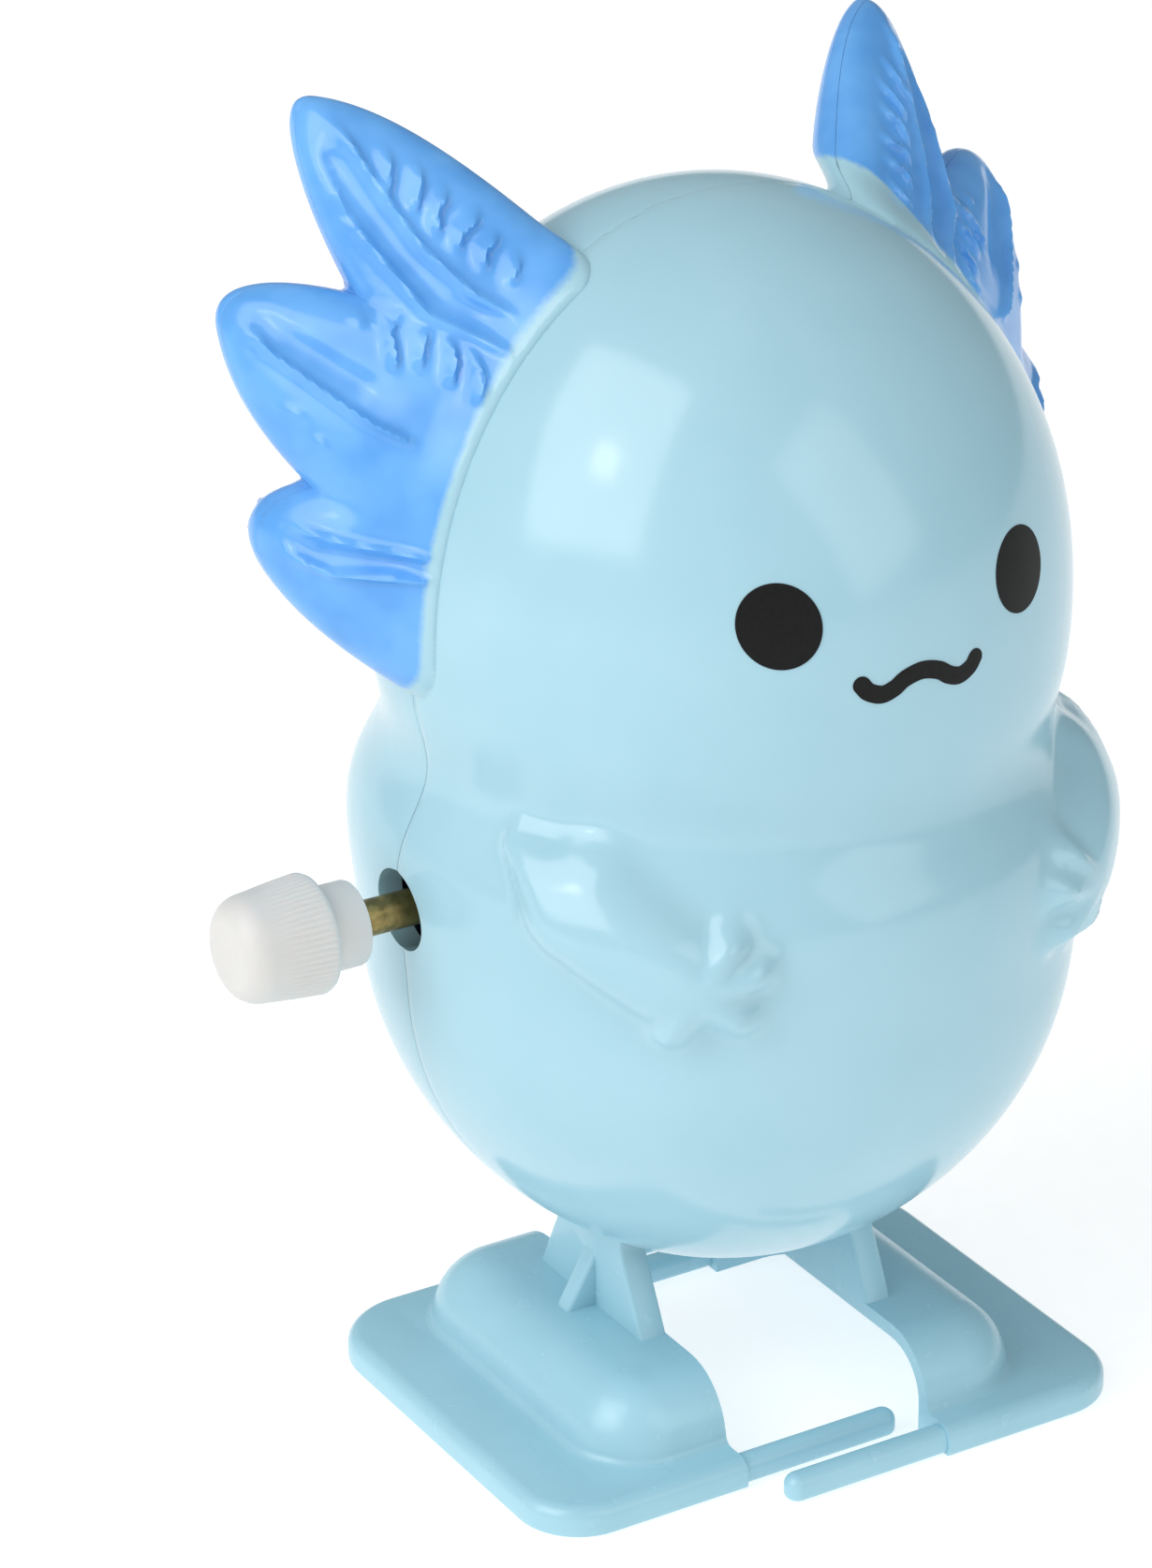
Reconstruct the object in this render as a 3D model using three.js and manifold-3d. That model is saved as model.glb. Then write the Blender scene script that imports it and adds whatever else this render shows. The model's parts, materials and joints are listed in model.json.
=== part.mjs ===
// Wind-up walking axolotl: a hollow two-shell body on two cranked feet, with its clockwork motor inside.
// Millimetres, +Z up. The toy faces -Y, its winding knob is on the -X side, and the soles stand on z = 0.
import * as THREE from "three";
import { mergeVertices } from "three/addons/utils/BufferGeometryUtils.js";
import Module from "manifold-3d";

const wasm = await Module();
wasm.setup();

// ---- Driving dimensions ----

// Body: a round head blended into an egg-shaped belly, with a soft crease at the waist and a roll below it.
const HEAD = { centreZ: 59, halfWidth: 22.4, up: 25.5, down: 25.5, power: 2 };
const BELLY = { centreZ: 34.3, halfWidth: 23.2, up: 50, down: 23, power: 1.85 };
const BLEND = 20;
const CREASE = { z: 49.5, depth: 0.75, spread: 3.2 };
const ROLL = { z: 43.8, height: 1.25, above: 4.4, below: 6 };
const DEPTH_RATIO = 1.04;
const BODY_BOTTOM = 12.6;
const WALL = 1.7;
const SEAM_GAP = 0.2;

// Gills: three lobes a side, swept back from the seam of the head at 45 degrees, the top one set further back.
const GILL = { flat: 2.6, bevel: 1.5, rim: 1.9, below: 50, from: 55 };
const SET_BACK = { low: 0.5, high: 2, from: 72, to: 84, within: 2 };

// Winding: arbor, knob and the hole that the arbor leaves the body by.
const ARBOR = { y: 0, z: 40.6, radius: 1.2, outer: -33.8 };
const KNOB = {
  collarX: -27.1,
  collarRadius: 2.8,
  innerX: -29.75,
  innerRadius: 3.9,
  outerX: -36.1,
  outerRadius: 3.55,
  endRound: 1.8,
};
const WINDING_HOLE_RADIUS = 2.75;

// Legs and feet. Each foot is measured from its own crank pin, which is at y = 0 in the foot's frame.
const CRANK = {
  y: 0,
  z: 23.8,
  axleRadius: 0.9,
  throw: 1.9,
  discRadius: 3.7,
  discX: [4.95, 6.35],
  pinRadius: 1,
  pinEnd: 9.7,
  capRadius: 1.9,
};
const LEG = {
  inner: 6.75,
  outer: 8.75,
  baseZ: 6,
  baseHalf: 6.9,
  neckZ: 12.2,
  neckHalf: 3.9,
  pinHalf: 3.6,
  guideZ: 31.6,
  guideHalf: 4.9,
};
const LEG_SLOT = { across: 0.5, along: 1.3, z: [5, 22] };
const GUIDE_PIN_RADIUS = 1;
const FOOT = {
  front: -16.9,
  back: 14.9,
  outer: 21.6,
  thickness: 2.1,
  edge: 0.9,
  frontCorner: 4.6,
  backCorner: 5.4,
};
const SHOE = { front: -14.1, back: 13.3, outer: 15.7, top: 6.7, wall: 1, round: 4.4 };
const GUSSET = { reach: 2.5, rise: 4, width: 1.2 };
const BAR = { reach: 5.5, width: 2.3, height: 1.9 };

// Motor: a moulded case with a flat cover, and a train of half-module gears between them.
const CASE = {
  half: 4.7,
  wall: 0.9,
  joint: 3.6,
  bottom: 16.3,
  bottomHalf: 9,
  halfDepth: 15.7,
  low: 22,
  high: 37.5,
  crown: 12.5,
};
const RIB = { z: [25, 35], halfWidth: 3, halfHeight: 0.6, clearance: 0.3 };
const MODULE = 0.5;
const MESH_SLACK = 0.1;
const RUNNING = 0.08;
const GREAT = { teeth: 40, x: [-0.7, 0.5] };
const SECOND = { teeth: 28, x: [2, 3.1], pinion: 10, pinionX: [-1, 0.8] };
const CRANK_GEAR = { teeth: 24, x: [-3.2, -2.1], pinion: 10, pinionX: [1.8, 3.3] };
const ESCAPE = { pinion: 8, pinionX: [-3.4, -1.9], teeth: 11, x: [1.8, 2.8], tip: 4, root: 2.7, angle: 145 };
const TRAIN_ARBOR_RADIUS = 0.6;
const RATCHET = { teeth: 12, tip: 3.6, root: 2.9, x: [0.8, 1.7] };
const CLICK = { inner: 4.8, outer: 5.6, start: 0.3, end: 2.5 };
const HUB_RADIUS = 1.3;
const CRANK_HUB_RADIUS = 1.7;
const SPRING = { inner: 1.8, outer: 9.6, turns: 6, thickness: 0.3, x: [-3.5, -1.1] };
const PALLET = { distance: 6.6, angle: 130, x: [1.8, 2.8] };

// ---- Helpers ----

// A closed geometry as a manifold solid: vertices shared, and the slivers that merging leaves dropped.
function toSolid(geometry) {
  const bare = geometry.index ? geometry.toNonIndexed() : geometry.clone();
  bare.deleteAttribute("normal");
  bare.deleteAttribute("uv");
  const merged = mergeVertices(bare, 1e-4);
  const corners = merged.index.array;
  const kept = [];
  for (let i = 0; i < corners.length; i += 3) {
    const [a, b, c] = [corners[i], corners[i + 1], corners[i + 2]];
    if (a !== b && b !== c && c !== a) kept.push(a, b, c);
  }
  const vertProperties = merged.attributes.position.array;
  return new wasm.Manifold(new wasm.Mesh({ numProp: 3, vertProperties, triVerts: new Uint32Array(kept) }));
}

function toGeometry(solid) {
  const mesh = solid.getMesh();
  const geometry = new THREE.BufferGeometry();
  geometry.setAttribute("position", new THREE.BufferAttribute(mesh.vertProperties, 3));
  geometry.setIndex(new THREE.BufferAttribute(mesh.triVerts, 1));
  geometry.computeVertexNormals();
  return geometry;
}

function join(...geometries) {
  return geometries.map(toSolid).reduce((whole, piece) => whole.add(piece));
}

// Turns a geometry drawn in XY and extruded along Z so that it is drawn in YZ and extruded along X.
const TO_SIDE_VIEW = new THREE.Matrix4().makeBasis(
  new THREE.Vector3(0, 1, 0),
  new THREE.Vector3(0, 0, 1),
  new THREE.Vector3(1, 0, 0),
);

// An outline in side view, (y, z), made solid between two x planes.
function sidePlate(shape, from, to, curveSegments = 8) {
  const plate = new THREE.ExtrudeGeometry(shape, { depth: to - from, bevelEnabled: false, curveSegments });
  return plate.applyMatrix4(TO_SIDE_VIEW).translate(from, 0, 0);
}

// A round rod along X.
function rod(radius, from, to, y = 0, z = 0, sides = 16) {
  const bar = new THREE.CylinderGeometry(radius, radius, to - from, sides);
  return bar.rotateZ(-Math.PI / 2).translate((from + to) / 2, y, z);
}

// A cutter for a hole that a shaft of this radius turns in. Its flats clear the shaft.
function bore(radius, from, to, y = 0, z = 0, sides = 16) {
  return rod((radius + RUNNING) / Math.cos(Math.PI / sides), from, to, y, z, sides);
}

function box(x, y, z) {
  const block = new THREE.BoxGeometry(x[1] - x[0], y[1] - y[0], z[1] - z[0]);
  return block.translate((x[0] + x[1]) / 2, (y[0] + y[1]) / 2, (z[0] + z[1]) / 2);
}

// ---- Body shape ----

// The height curve of one body lobe, 1 at its widest and 0 at its ends, for a lobe shrunk by inset.
function lobe(z, { centreZ, up, down, power }, inset) {
  const reach = (z > centreZ ? up : down) - inset;
  const t = Math.abs(z - centreZ) / reach;
  return t >= 1 ? 0 : Math.pow(1 - Math.pow(t, power), 1 / power);
}

function bodyHalfWidth(z, inset = 0) {
  const head = (HEAD.halfWidth - inset) * lobe(z, HEAD, inset);
  const belly = (BELLY.halfWidth - inset) * lobe(z, BELLY, inset);
  const crease = CREASE.depth * Math.exp(-(((z - CREASE.z) / CREASE.spread) ** 2));
  const rollSpread = z > ROLL.z ? ROLL.above : ROLL.below;
  const roll = ROLL.height * Math.exp(-(((z - ROLL.z) / rollSpread) ** 2));
  return Math.pow(Math.pow(head, BLEND) + Math.pow(belly, BLEND), 1 / BLEND) - crease + roll;
}

// The body turned from its height curve, from a flat bottom to the crown, as an oval.
function bodySolid(inset, bottom, rings, segments) {
  const top = HEAD.centreZ + HEAD.up - inset;
  const profile = [new THREE.Vector2(0, bottom)];
  for (let i = 0; i < rings; i++) {
    const turn = (Math.PI * i) / rings;
    const z = (top + bottom) / 2 - ((top - bottom) / 2) * Math.cos(turn);
    profile.push(new THREE.Vector2(bodyHalfWidth(z, inset), z));
  }
  profile.push(new THREE.Vector2(0, top));
  const turned = new THREE.LatheGeometry(profile, segments);
  return toSolid(turned.rotateX(Math.PI / 2).scale(1, DEPTH_RATIO, 1));
}

// A point on the body's surface, at an angle round from the front towards +X, raised outwards.
function onBody(angleDegrees, z, raised) {
  const angle = THREE.MathUtils.degToRad(angleDegrees);
  const radius = bodyHalfWidth(z) + raised;
  return new THREE.Vector3(radius * Math.sin(angle), -radius * DEPTH_RATIO * Math.cos(angle), z);
}

// How far back the gill sheet lies at (x, z): nothing on the body, then further back with the distance from
// the head. It fades to nothing below the gills.
function sweepBack(x, z) {
  const rise = z - HEAD.centreZ;
  const angle = Math.atan2(rise, Math.abs(x));
  const headRadius = 1 / Math.hypot(Math.cos(angle) / HEAD.halfWidth, Math.sin(angle) / HEAD.up);
  const fade = THREE.MathUtils.smoothstep(z, GILL.below, GILL.from);
  const outside = Math.max(0, Math.hypot(x, rise) - headRadius);
  const share = THREE.MathUtils.smoothstep(z, SET_BACK.from, SET_BACK.to);
  const setBack = SET_BACK.low + (SET_BACK.high - SET_BACK.low) * share;
  return (outside + setBack * THREE.MathUtils.smoothstep(outside, 0, SET_BACK.within)) * fade;
}

// The +X gill's three lobes in front view, (x, z), from the top down: each leaves the head at its root,
// curves out to its tip and back to its end, and closes at a core point inside the head.
const GILL_LOBES = [
  {
    root: [8.6, 80.2],
    out: [[12.6, 85.2], [16.4, 89.3]],
    tip: [20.4, 89.7],
    back: [[23.2, 89.7], [22.9, 82.5]],
    end: [20.6, 74.2],
    core: [15, 71],
  },
  {
    root: [17.4, 77.6],
    out: [[22, 79.8], [28.9, 80.9]],
    tip: [28.95, 76.2],
    back: [[29.1, 73.2], [28.2, 69.4]],
    end: [22.4, 63.4],
    core: [17, 66],
  },
  {
    root: [21.4, 68.2],
    out: [[26, 69.2], [31, 66.6]],
    tip: [28.4, 61.6],
    back: [[27, 58.9], [24.8, 56.8]],
    end: [21.2, 54.2],
    core: [17.6, 59],
  },
];

function gillLobeOutline({ root, out, tip, back, end, core }) {
  const outline = new THREE.Shape();
  outline.moveTo(...root);
  outline.bezierCurveTo(...out[0], ...out[1], ...tip);
  outline.bezierCurveTo(...back[0], ...back[1], ...end);
  outline.lineTo(...core);
  return outline;
}

// One lobe as a leaf with rounded edges, bent back along the gill sheet.
function gillLobe(lobeForm) {
  const leaf = new THREE.ExtrudeGeometry(gillLobeOutline(lobeForm), {
    depth: GILL.flat,
    bevelThickness: GILL.rim,
    bevelSize: GILL.bevel,
    bevelOffset: -GILL.bevel,
    bevelSegments: 2,
    curveSegments: 5,
  });
  leaf.translate(0, 0, -GILL.flat / 2).rotateX(Math.PI / 2);
  const points = leaf.attributes.position;
  for (let i = 0; i < points.count; i++) {
    points.setY(i, points.getY(i) + sweepBack(points.getX(i), points.getZ(i)));
  }
  return toSolid(leaf);
}

function gill(side) {
  const whole = GILL_LOBES.map(gillLobe).reduce((joined, leaf) => joined.add(leaf));
  return side > 0 ? whole : whole.mirror([1, 0, 0]);
}

// A raised arm that runs down the belly from the shoulder to a hand with four short fingers.
function arm(side) {
  const route = [
    [67, 47.6, -2.2],
    [58, 46.2, -1.3],
    [49, 44.2, -1],
    [40, 42, -1.1],
    [36, 41.2, -1.6],
  ].map(([angle, z, raised]) => onBody(side * angle, z, raised));
  const section = new THREE.Shape().absarc(0, 0, 3, 0, 2 * Math.PI);
  const limb = new THREE.ExtrudeGeometry(section, {
    steps: 6,
    curveSegments: 5,
    extrudePath: new THREE.CatmullRomCurve3(route),
  });
  const knuckles = [
    [67, 47.6, 3, -2.2],
    [36, 41.2, 3.5, -2],
    [29.5, 44.3, 1.5, -0.6],
    [27, 42.1, 1.5, -0.5],
    [29.5, 39.2, 1.5, -0.5],
    [37.5, 37.8, 1.5, -0.6],
  ].map(([angle, z, radius, raised]) => {
    const ball = new THREE.SphereGeometry(radius, 8, 6);
    return ball.translate(...onBody(side * angle, z, raised));
  });
  return join(limb, ...knuckles);
}

// Everything in front of the parting surface, which is moved back by offset: the seam plane on the body,
// swept back through the gills.
function inFrontOfParting(offset) {
  const reach = 60;
  const block = new THREE.BoxGeometry(84, reach, 100, 28, 1, 30).translate(0, -reach / 2, 50);
  const points = block.attributes.position;
  for (let i = 0; i < points.count; i++) {
    if (points.getY(i) > -1) points.setY(i, sweepBack(points.getX(i), points.getZ(i)) + offset);
  }
  return toSolid(block);
}

// A slot in the body's floor, wide enough for a leg that swings round with its crank.
function legSlot(side) {
  const half = LEG.neckHalf + LEG_SLOT.along + CRANK.throw;
  const middle = (side * (LEG.inner + LEG.outer)) / 2;
  const width = (LEG.outer - LEG.inner) / 2 + LEG_SLOT.across;
  return toSolid(box([middle - width, middle + width], [-half, half], LEG_SLOT.z));
}

// Two ribs inside each shell that hold the motor between them, just clear of its case.
function motorRibs(direction) {
  const near = direction * (CASE.halfDepth + RIB.clearance);
  const far = direction * BELLY.halfWidth * 2;
  const ribs = RIB.z.map((z) => {
    const depth = [Math.min(near, far), Math.max(near, far)];
    return toSolid(box([-RIB.halfWidth, RIB.halfWidth], depth, [z - RIB.halfHeight, z + RIB.halfHeight]));
  });
  return ribs[0].add(ribs[1]).intersect(bodySolid(WALL / 2, BODY_BOTTOM + WALL / 2, 16, 24));
}

function bodyShell(direction) {
  const outside = bodySolid(0, BODY_BOTTOM, 22, 36).add(arm(1)).add(arm(-1)).add(gill(1)).add(gill(-1));
  const hollow = bodySolid(WALL, BODY_BOTTOM + WALL, 15, 24);
  const windingHole = toSolid(rod(WINDING_HOLE_RADIUS, -30, -15, ARBOR.y, ARBOR.z, 20));
  const shell = outside.subtract(hollow).subtract(windingHole).subtract(legSlot(1)).subtract(legSlot(-1));
  const front = shell.intersect(inFrontOfParting(-SEAM_GAP / 2));
  const back = shell.subtract(inFrontOfParting(SEAM_GAP / 2));
  return toGeometry((direction < 0 ? front : back).add(motorRibs(direction)));
}

// ---- Feet ----

// The plate's outline seen from above, (x, y), for the foot on the +X side.
function platePlan() {
  const { front, back, outer, frontCorner, backCorner } = FOOT;
  const plan = new THREE.Shape();
  plan.moveTo(LEG.inner, front);
  plan.lineTo(outer - frontCorner, front);
  plan.absarc(outer - frontCorner, front + frontCorner, frontCorner, -Math.PI / 2, 0);
  plan.lineTo(outer, back - backCorner);
  plan.absarc(outer - backCorner, back - backCorner, backCorner, 0, Math.PI / 2);
  plan.lineTo(LEG.inner, back);
  return plan;
}

// The shoe's side view, (y, z), with a round toe and heel, shrunk by inset.
function shoeOutline(inset, bottom) {
  const round = SHOE.round - inset;
  const front = SHOE.front + inset;
  const back = SHOE.back - inset;
  const top = SHOE.top - inset;
  const outline = new THREE.Shape();
  outline.moveTo(front, bottom);
  outline.lineTo(back, bottom);
  outline.lineTo(back, top - round);
  outline.absarc(back - round, top - round, round, 0, Math.PI / 2);
  outline.lineTo(front + round, top);
  outline.absarc(front + round, top - round, round, Math.PI / 2, Math.PI);
  return outline;
}

// The shoe seen from above, (x, y), whose round outer corners trim the side view.
function shoePlan(inset) {
  const round = SHOE.round - inset;
  const outer = SHOE.outer - inset;
  const front = SHOE.front + inset;
  const back = SHOE.back - inset;
  const plan = new THREE.Shape();
  plan.moveTo(LEG.inner - 2, front);
  plan.lineTo(outer - round, front);
  plan.absarc(outer - round, front + round, round, -Math.PI / 2, 0);
  plan.absarc(outer - round, back - round, round, 0, Math.PI / 2);
  plan.lineTo(LEG.inner - 2, back);
  return plan;
}

// The shoe's front view, (x, z), with a round shoulder on its outer side.
function shoeSection(inset, bottom) {
  const round = SHOE.round - inset;
  const outer = SHOE.outer - inset;
  const top = SHOE.top - inset;
  const section = new THREE.Shape();
  section.moveTo(LEG.inner - 2, bottom);
  section.lineTo(outer, bottom);
  section.absarc(outer - round, top - round, round, 0, Math.PI / 2);
  section.lineTo(LEG.inner - 2, top);
  return section;
}

// The shoe as a block with every outer edge rounded: what its side, top and front views have in common.
function shoeBlock(inset, bottom) {
  const side = sidePlate(shoeOutline(inset, bottom), LEG.inner - 2, SHOE.outer, 4);
  const height = SHOE.top - bottom + 1;
  const above = new THREE.ExtrudeGeometry(shoePlan(inset), {
    depth: height,
    bevelEnabled: false,
    curveSegments: 4,
  });
  above.translate(0, 0, bottom - 0.5);
  const length = SHOE.back - SHOE.front + 1;
  const across = new THREE.ExtrudeGeometry(shoeSection(inset, bottom), {
    depth: length,
    bevelEnabled: false,
    curveSegments: 4,
  });
  across.rotateX(Math.PI / 2).translate(0, SHOE.back + 0.5, 0);
  return toSolid(side).intersect(toSolid(above)).intersect(toSolid(across));
}

// The leg blade's side view, (y, z): wide where it joins the shoe, waisted, then a plate round its pin holes.
function legOutline() {
  const leg = new THREE.Shape();
  leg.moveTo(-LEG.baseHalf, LEG.baseZ);
  leg.lineTo(LEG.baseHalf, LEG.baseZ);
  leg.lineTo(LEG.neckHalf, LEG.neckZ);
  leg.lineTo(LEG.pinHalf, CRANK.z);
  leg.lineTo(LEG.guideHalf, LEG.guideZ);
  leg.absarc(0, LEG.guideZ, LEG.guideHalf, 0, Math.PI);
  leg.lineTo(-LEG.pinHalf, CRANK.z);
  leg.lineTo(-LEG.neckHalf, LEG.neckZ);
  return leg;
}

// A bar that reaches across in front of, or behind, the other foot, with a round end.
function bar(front) {
  const end = BAR.width / 2;
  const plan = new THREE.Shape();
  plan.moveTo(LEG.inner + 0.5, front);
  plan.lineTo(LEG.inner + 0.5, front + BAR.width);
  plan.lineTo(-BAR.reach + end, front + BAR.width);
  plan.absarc(-BAR.reach + end, front + end, end, Math.PI / 2, 1.5 * Math.PI);
  return new THREE.ExtrudeGeometry(plan, { depth: BAR.height, bevelEnabled: false, curveSegments: 6 });
}

// The small triangular rib that props the leg on the shoe's top.
function gusset() {
  const low = SHOE.top - 0.5;
  const high = SHOE.top + GUSSET.rise;
  const outline = new THREE.Shape();
  outline.moveTo(LEG.outer - 0.5, low);
  outline.lineTo(LEG.outer + GUSSET.reach, low);
  outline.lineTo(LEG.outer, high);
  outline.lineTo(LEG.outer - 0.5, high);
  const rib = new THREE.ExtrudeGeometry(outline, { depth: GUSSET.width, bevelEnabled: false });
  return rib.rotateX(Math.PI / 2).translate(0, GUSSET.width / 2, 0);
}

// One foot moulding for the +X side: plate, hollow shoe open at its inner side, leg, gusset and two bars.
function foot() {
  const plate = new THREE.ExtrudeGeometry(platePlan(), {
    depth: FOOT.thickness - FOOT.edge,
    bevelThickness: FOOT.edge,
    bevelSize: FOOT.edge,
    bevelOffset: -FOOT.edge,
    bevelSegments: 3,
    curveSegments: 6,
  });
  const standing = toSolid(plate).intersect(toSolid(box([LEG.inner, 30], [-20, 20], [0, 4])));
  const innerRim = toSolid(box([LEG.inner, LEG.inner + 3], [FOOT.front, FOOT.back], [0, FOOT.thickness]));
  const ankle = toSolid(box([LEG.inner, SHOE.outer + 1], [-20, 20], [0, 10]));
  const guideWindow = GUIDE_PIN_RADIUS + CRANK.throw + 0.3;
  const whole = standing
    .add(innerRim)
    .add(shoeBlock(0, 0).intersect(ankle))
    .subtract(shoeBlock(SHOE.wall, -1))
    .add(toSolid(sidePlate(legOutline(), LEG.inner, LEG.outer)))
    .add(toSolid(gusset()))
    .add(toSolid(bar(FOOT.front)))
    .add(toSolid(bar(FOOT.back - BAR.width)));
  return toGeometry(
    whole
      .subtract(toSolid(bore(CRANK.pinRadius, LEG.inner - 1, LEG.outer + 1, 0, CRANK.z)))
      .subtract(toSolid(rod(guideWindow, LEG.inner - 1, LEG.outer + 1, 0, LEG.guideZ, 20))),
  );
}

// ---- Gears ----

// The half angle of a tooth at a radius, from the involute of a 20 degree gear, less the backlash.
function toothHalfAngle(radius, teeth, backlash) {
  const pressure = THREE.MathUtils.degToRad(20);
  const pitchRadius = (MODULE * teeth) / 2;
  const base = pitchRadius * Math.cos(pressure);
  const involute = (angle) => Math.tan(angle) - angle;
  const slope = radius > base ? Math.acos(base / radius) : 0;
  return Math.PI / (2 * teeth) - backlash / (2 * pitchRadius) + involute(pressure) - involute(slope);
}

function gearOutline(teeth, backlash = 0.1) {
  const pitchRadius = (MODULE * teeth) / 2;
  const radii = [pitchRadius - 1.2 * MODULE, pitchRadius, pitchRadius + 0.85 * MODULE];
  const points = [];
  for (let tooth = 0; tooth < teeth; tooth++) {
    const middle = (2 * Math.PI * tooth) / teeth;
    const rising = radii.map((radius) => [radius, middle - toothHalfAngle(radius, teeth, backlash)]);
    const falling = radii.map((radius) => [radius, middle + toothHalfAngle(radius, teeth, backlash)]);
    for (const [radius, angle] of [...rising, ...falling.reverse()]) {
      points.push(new THREE.Vector2(radius * Math.cos(angle), radius * Math.sin(angle)));
    }
  }
  return new THREE.Shape(points);
}

// A wheel of raked teeth: from the root, a slope up to a short tip land, then a sharp drop to the next.
function rakedOutline({ teeth, tip, root }, rise, land) {
  const step = (2 * Math.PI) / teeth;
  const points = [];
  for (let tooth = 0; tooth < teeth; tooth++) {
    for (const [radius, turn] of [[root, 0], [tip, rise], [tip, rise + land]]) {
      const angle = (tooth + turn) * step;
      points.push(new THREE.Vector2(radius * Math.cos(angle), radius * Math.sin(angle)));
    }
  }
  return new THREE.Shape(points);
}

// A wheel and its pinion moulded in one on a common hub, with a bore for its arbor. Its axis is X.
function wheelAndPinion(wheel, { x, pinion, pinionX }, hubRadius, boreRadius) {
  const from = Math.min(x[0], pinionX[0]);
  const to = Math.max(x[1], pinionX[1]);
  const small = sidePlate(gearOutline(pinion), ...pinionX);
  const moulding = join(sidePlate(wheel, ...x), small, rod(hubRadius, from, to));
  return toGeometry(moulding.subtract(toSolid(bore(boreRadius, from - 1, to + 1))));
}

// Where the arbors stand, as (y, z). The second arbor is a mesh distance from the winding and crank axes.
const meshDistance = (teethA, teethB) => (MODULE * (teethA + teethB)) / 2 + MESH_SLACK;
const polar = (distance, degrees) => {
  const angle = THREE.MathUtils.degToRad(degrees);
  return new THREE.Vector2(distance * Math.cos(angle), distance * Math.sin(angle));
};
const windingAxis = new THREE.Vector2(ARBOR.y, ARBOR.z);
const crankAxis = new THREE.Vector2(CRANK.y, CRANK.z);

function secondAxisPlace() {
  const fromWinding = meshDistance(GREAT.teeth, SECOND.pinion);
  const fromCrank = meshDistance(SECOND.teeth, CRANK_GEAR.pinion);
  const apart = windingAxis.distanceTo(crankAxis);
  const up = (fromCrank ** 2 - fromWinding ** 2 + apart ** 2) / (2 * apart);
  return new THREE.Vector2(Math.sqrt(fromCrank ** 2 - up ** 2), CRANK.z + up);
}

const secondAxis = secondAxisPlace();
const escapeAxis = crankAxis.clone().add(polar(meshDistance(CRANK_GEAR.teeth, ESCAPE.pinion), ESCAPE.angle));
const palletAxis = escapeAxis.clone().add(polar(PALLET.distance, PALLET.angle));

// The turn that puts a gear's tooth in the gap of the gear that it meshes with.
function meshTurn(driver, driverTeeth, driverTurn, driven, drivenTeeth) {
  const direction = Math.atan2(driven.y - driver.y, driven.x - driver.x);
  const toothShare = ((direction - driverTurn) * driverTeeth) / (2 * Math.PI);
  return direction + Math.PI - ((0.5 - toothShare) * 2 * Math.PI) / drivenTeeth;
}

const greatTurn = meshTurn(secondAxis, SECOND.pinion, 0, windingAxis, GREAT.teeth);
const crankGearTurn = meshTurn(secondAxis, SECOND.teeth, 0, crankAxis, CRANK_GEAR.pinion);
const escapeTurn = meshTurn(crankAxis, CRANK_GEAR.teeth, crankGearTurn, escapeAxis, ESCAPE.pinion);

// ---- Motor pieces ----

// The case's side view, (y, z), shrunk by inset: a narrow foot, straight sides and a round crown.
function caseOutline(inset) {
  const side = CASE.halfDepth - inset;
  const crown = CASE.crown - inset;
  const foot = CASE.bottomHalf - inset / 2;
  const outline = new THREE.Shape();
  outline.moveTo(-foot, CASE.bottom + inset);
  outline.lineTo(foot, CASE.bottom + inset);
  outline.lineTo(side, CASE.low + inset / 2);
  outline.lineTo(side, CASE.high);
  outline.lineTo(crown, ARBOR.z);
  outline.absarc(0, ARBOR.z, crown, 0, Math.PI);
  outline.lineTo(-side, CASE.high);
  outline.lineTo(-side, CASE.low + inset / 2);
  return outline;
}

// Every shaft that passes through the case and its cover, as [axis, radius].
const shafts = [
  [windingAxis, ARBOR.radius],
  [crankAxis, CRANK.axleRadius],
  [secondAxis, TRAIN_ARBOR_RADIUS],
  [escapeAxis, TRAIN_ARBOR_RADIUS],
  [palletAxis, TRAIN_ARBOR_RADIUS],
];

function drilled(solid) {
  const holes = shafts.map(([axis, radius]) => toSolid(bore(radius, -6, 6, axis.x, axis.y)));
  return toGeometry(holes.reduce((left, hole) => left.subtract(hole), solid));
}

function motorCase() {
  const block = toSolid(sidePlate(caseOutline(0), -CASE.half, CASE.joint));
  const hollow = toSolid(sidePlate(caseOutline(CASE.wall), CASE.wall - CASE.half, CASE.half));
  return drilled(block.subtract(hollow));
}

function motorCover() {
  return drilled(toSolid(sidePlate(caseOutline(0), CASE.joint + 0.2, CASE.half)));
}

// The mainspring: one flat ribbon wound in an open spiral round the arbor.
function mainspringOutline() {
  const steps = SPRING.turns * 14;
  const spiral = (step, offset) => {
    const share = step / steps;
    const radius = SPRING.inner + (SPRING.outer - SPRING.inner) * share + offset;
    const angle = 2 * Math.PI * SPRING.turns * share;
    return new THREE.Vector2(radius * Math.cos(angle), radius * Math.sin(angle));
  };
  const face = (offset) => Array.from({ length: steps + 1 }, (_, step) => spiral(step, offset));
  const inside = face(-SPRING.thickness / 2);
  const outside = face(SPRING.thickness / 2);
  return new THREE.Shape([...outside, ...inside.reverse()]);
}

// The click: a springy arc on the great wheel's face whose tip rests over the ratchet's teeth.
function clickOutline() {
  const { inner, outer, start, end } = CLICK;
  const tip = RATCHET.tip + 0.2;
  const outline = new THREE.Shape();
  outline.absarc(0, 0, outer, start, end, false);
  outline.lineTo(tip * Math.cos(end + 0.12), tip * Math.sin(end + 0.12));
  outline.lineTo(tip * Math.cos(end - 0.1), tip * Math.sin(end - 0.1));
  outline.absarc(0, 0, inner, end - 0.22, start + 0.25, true);
  outline.lineTo(inner * 0.9 * Math.cos(start), inner * 0.9 * Math.sin(start));
  return outline;
}

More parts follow.
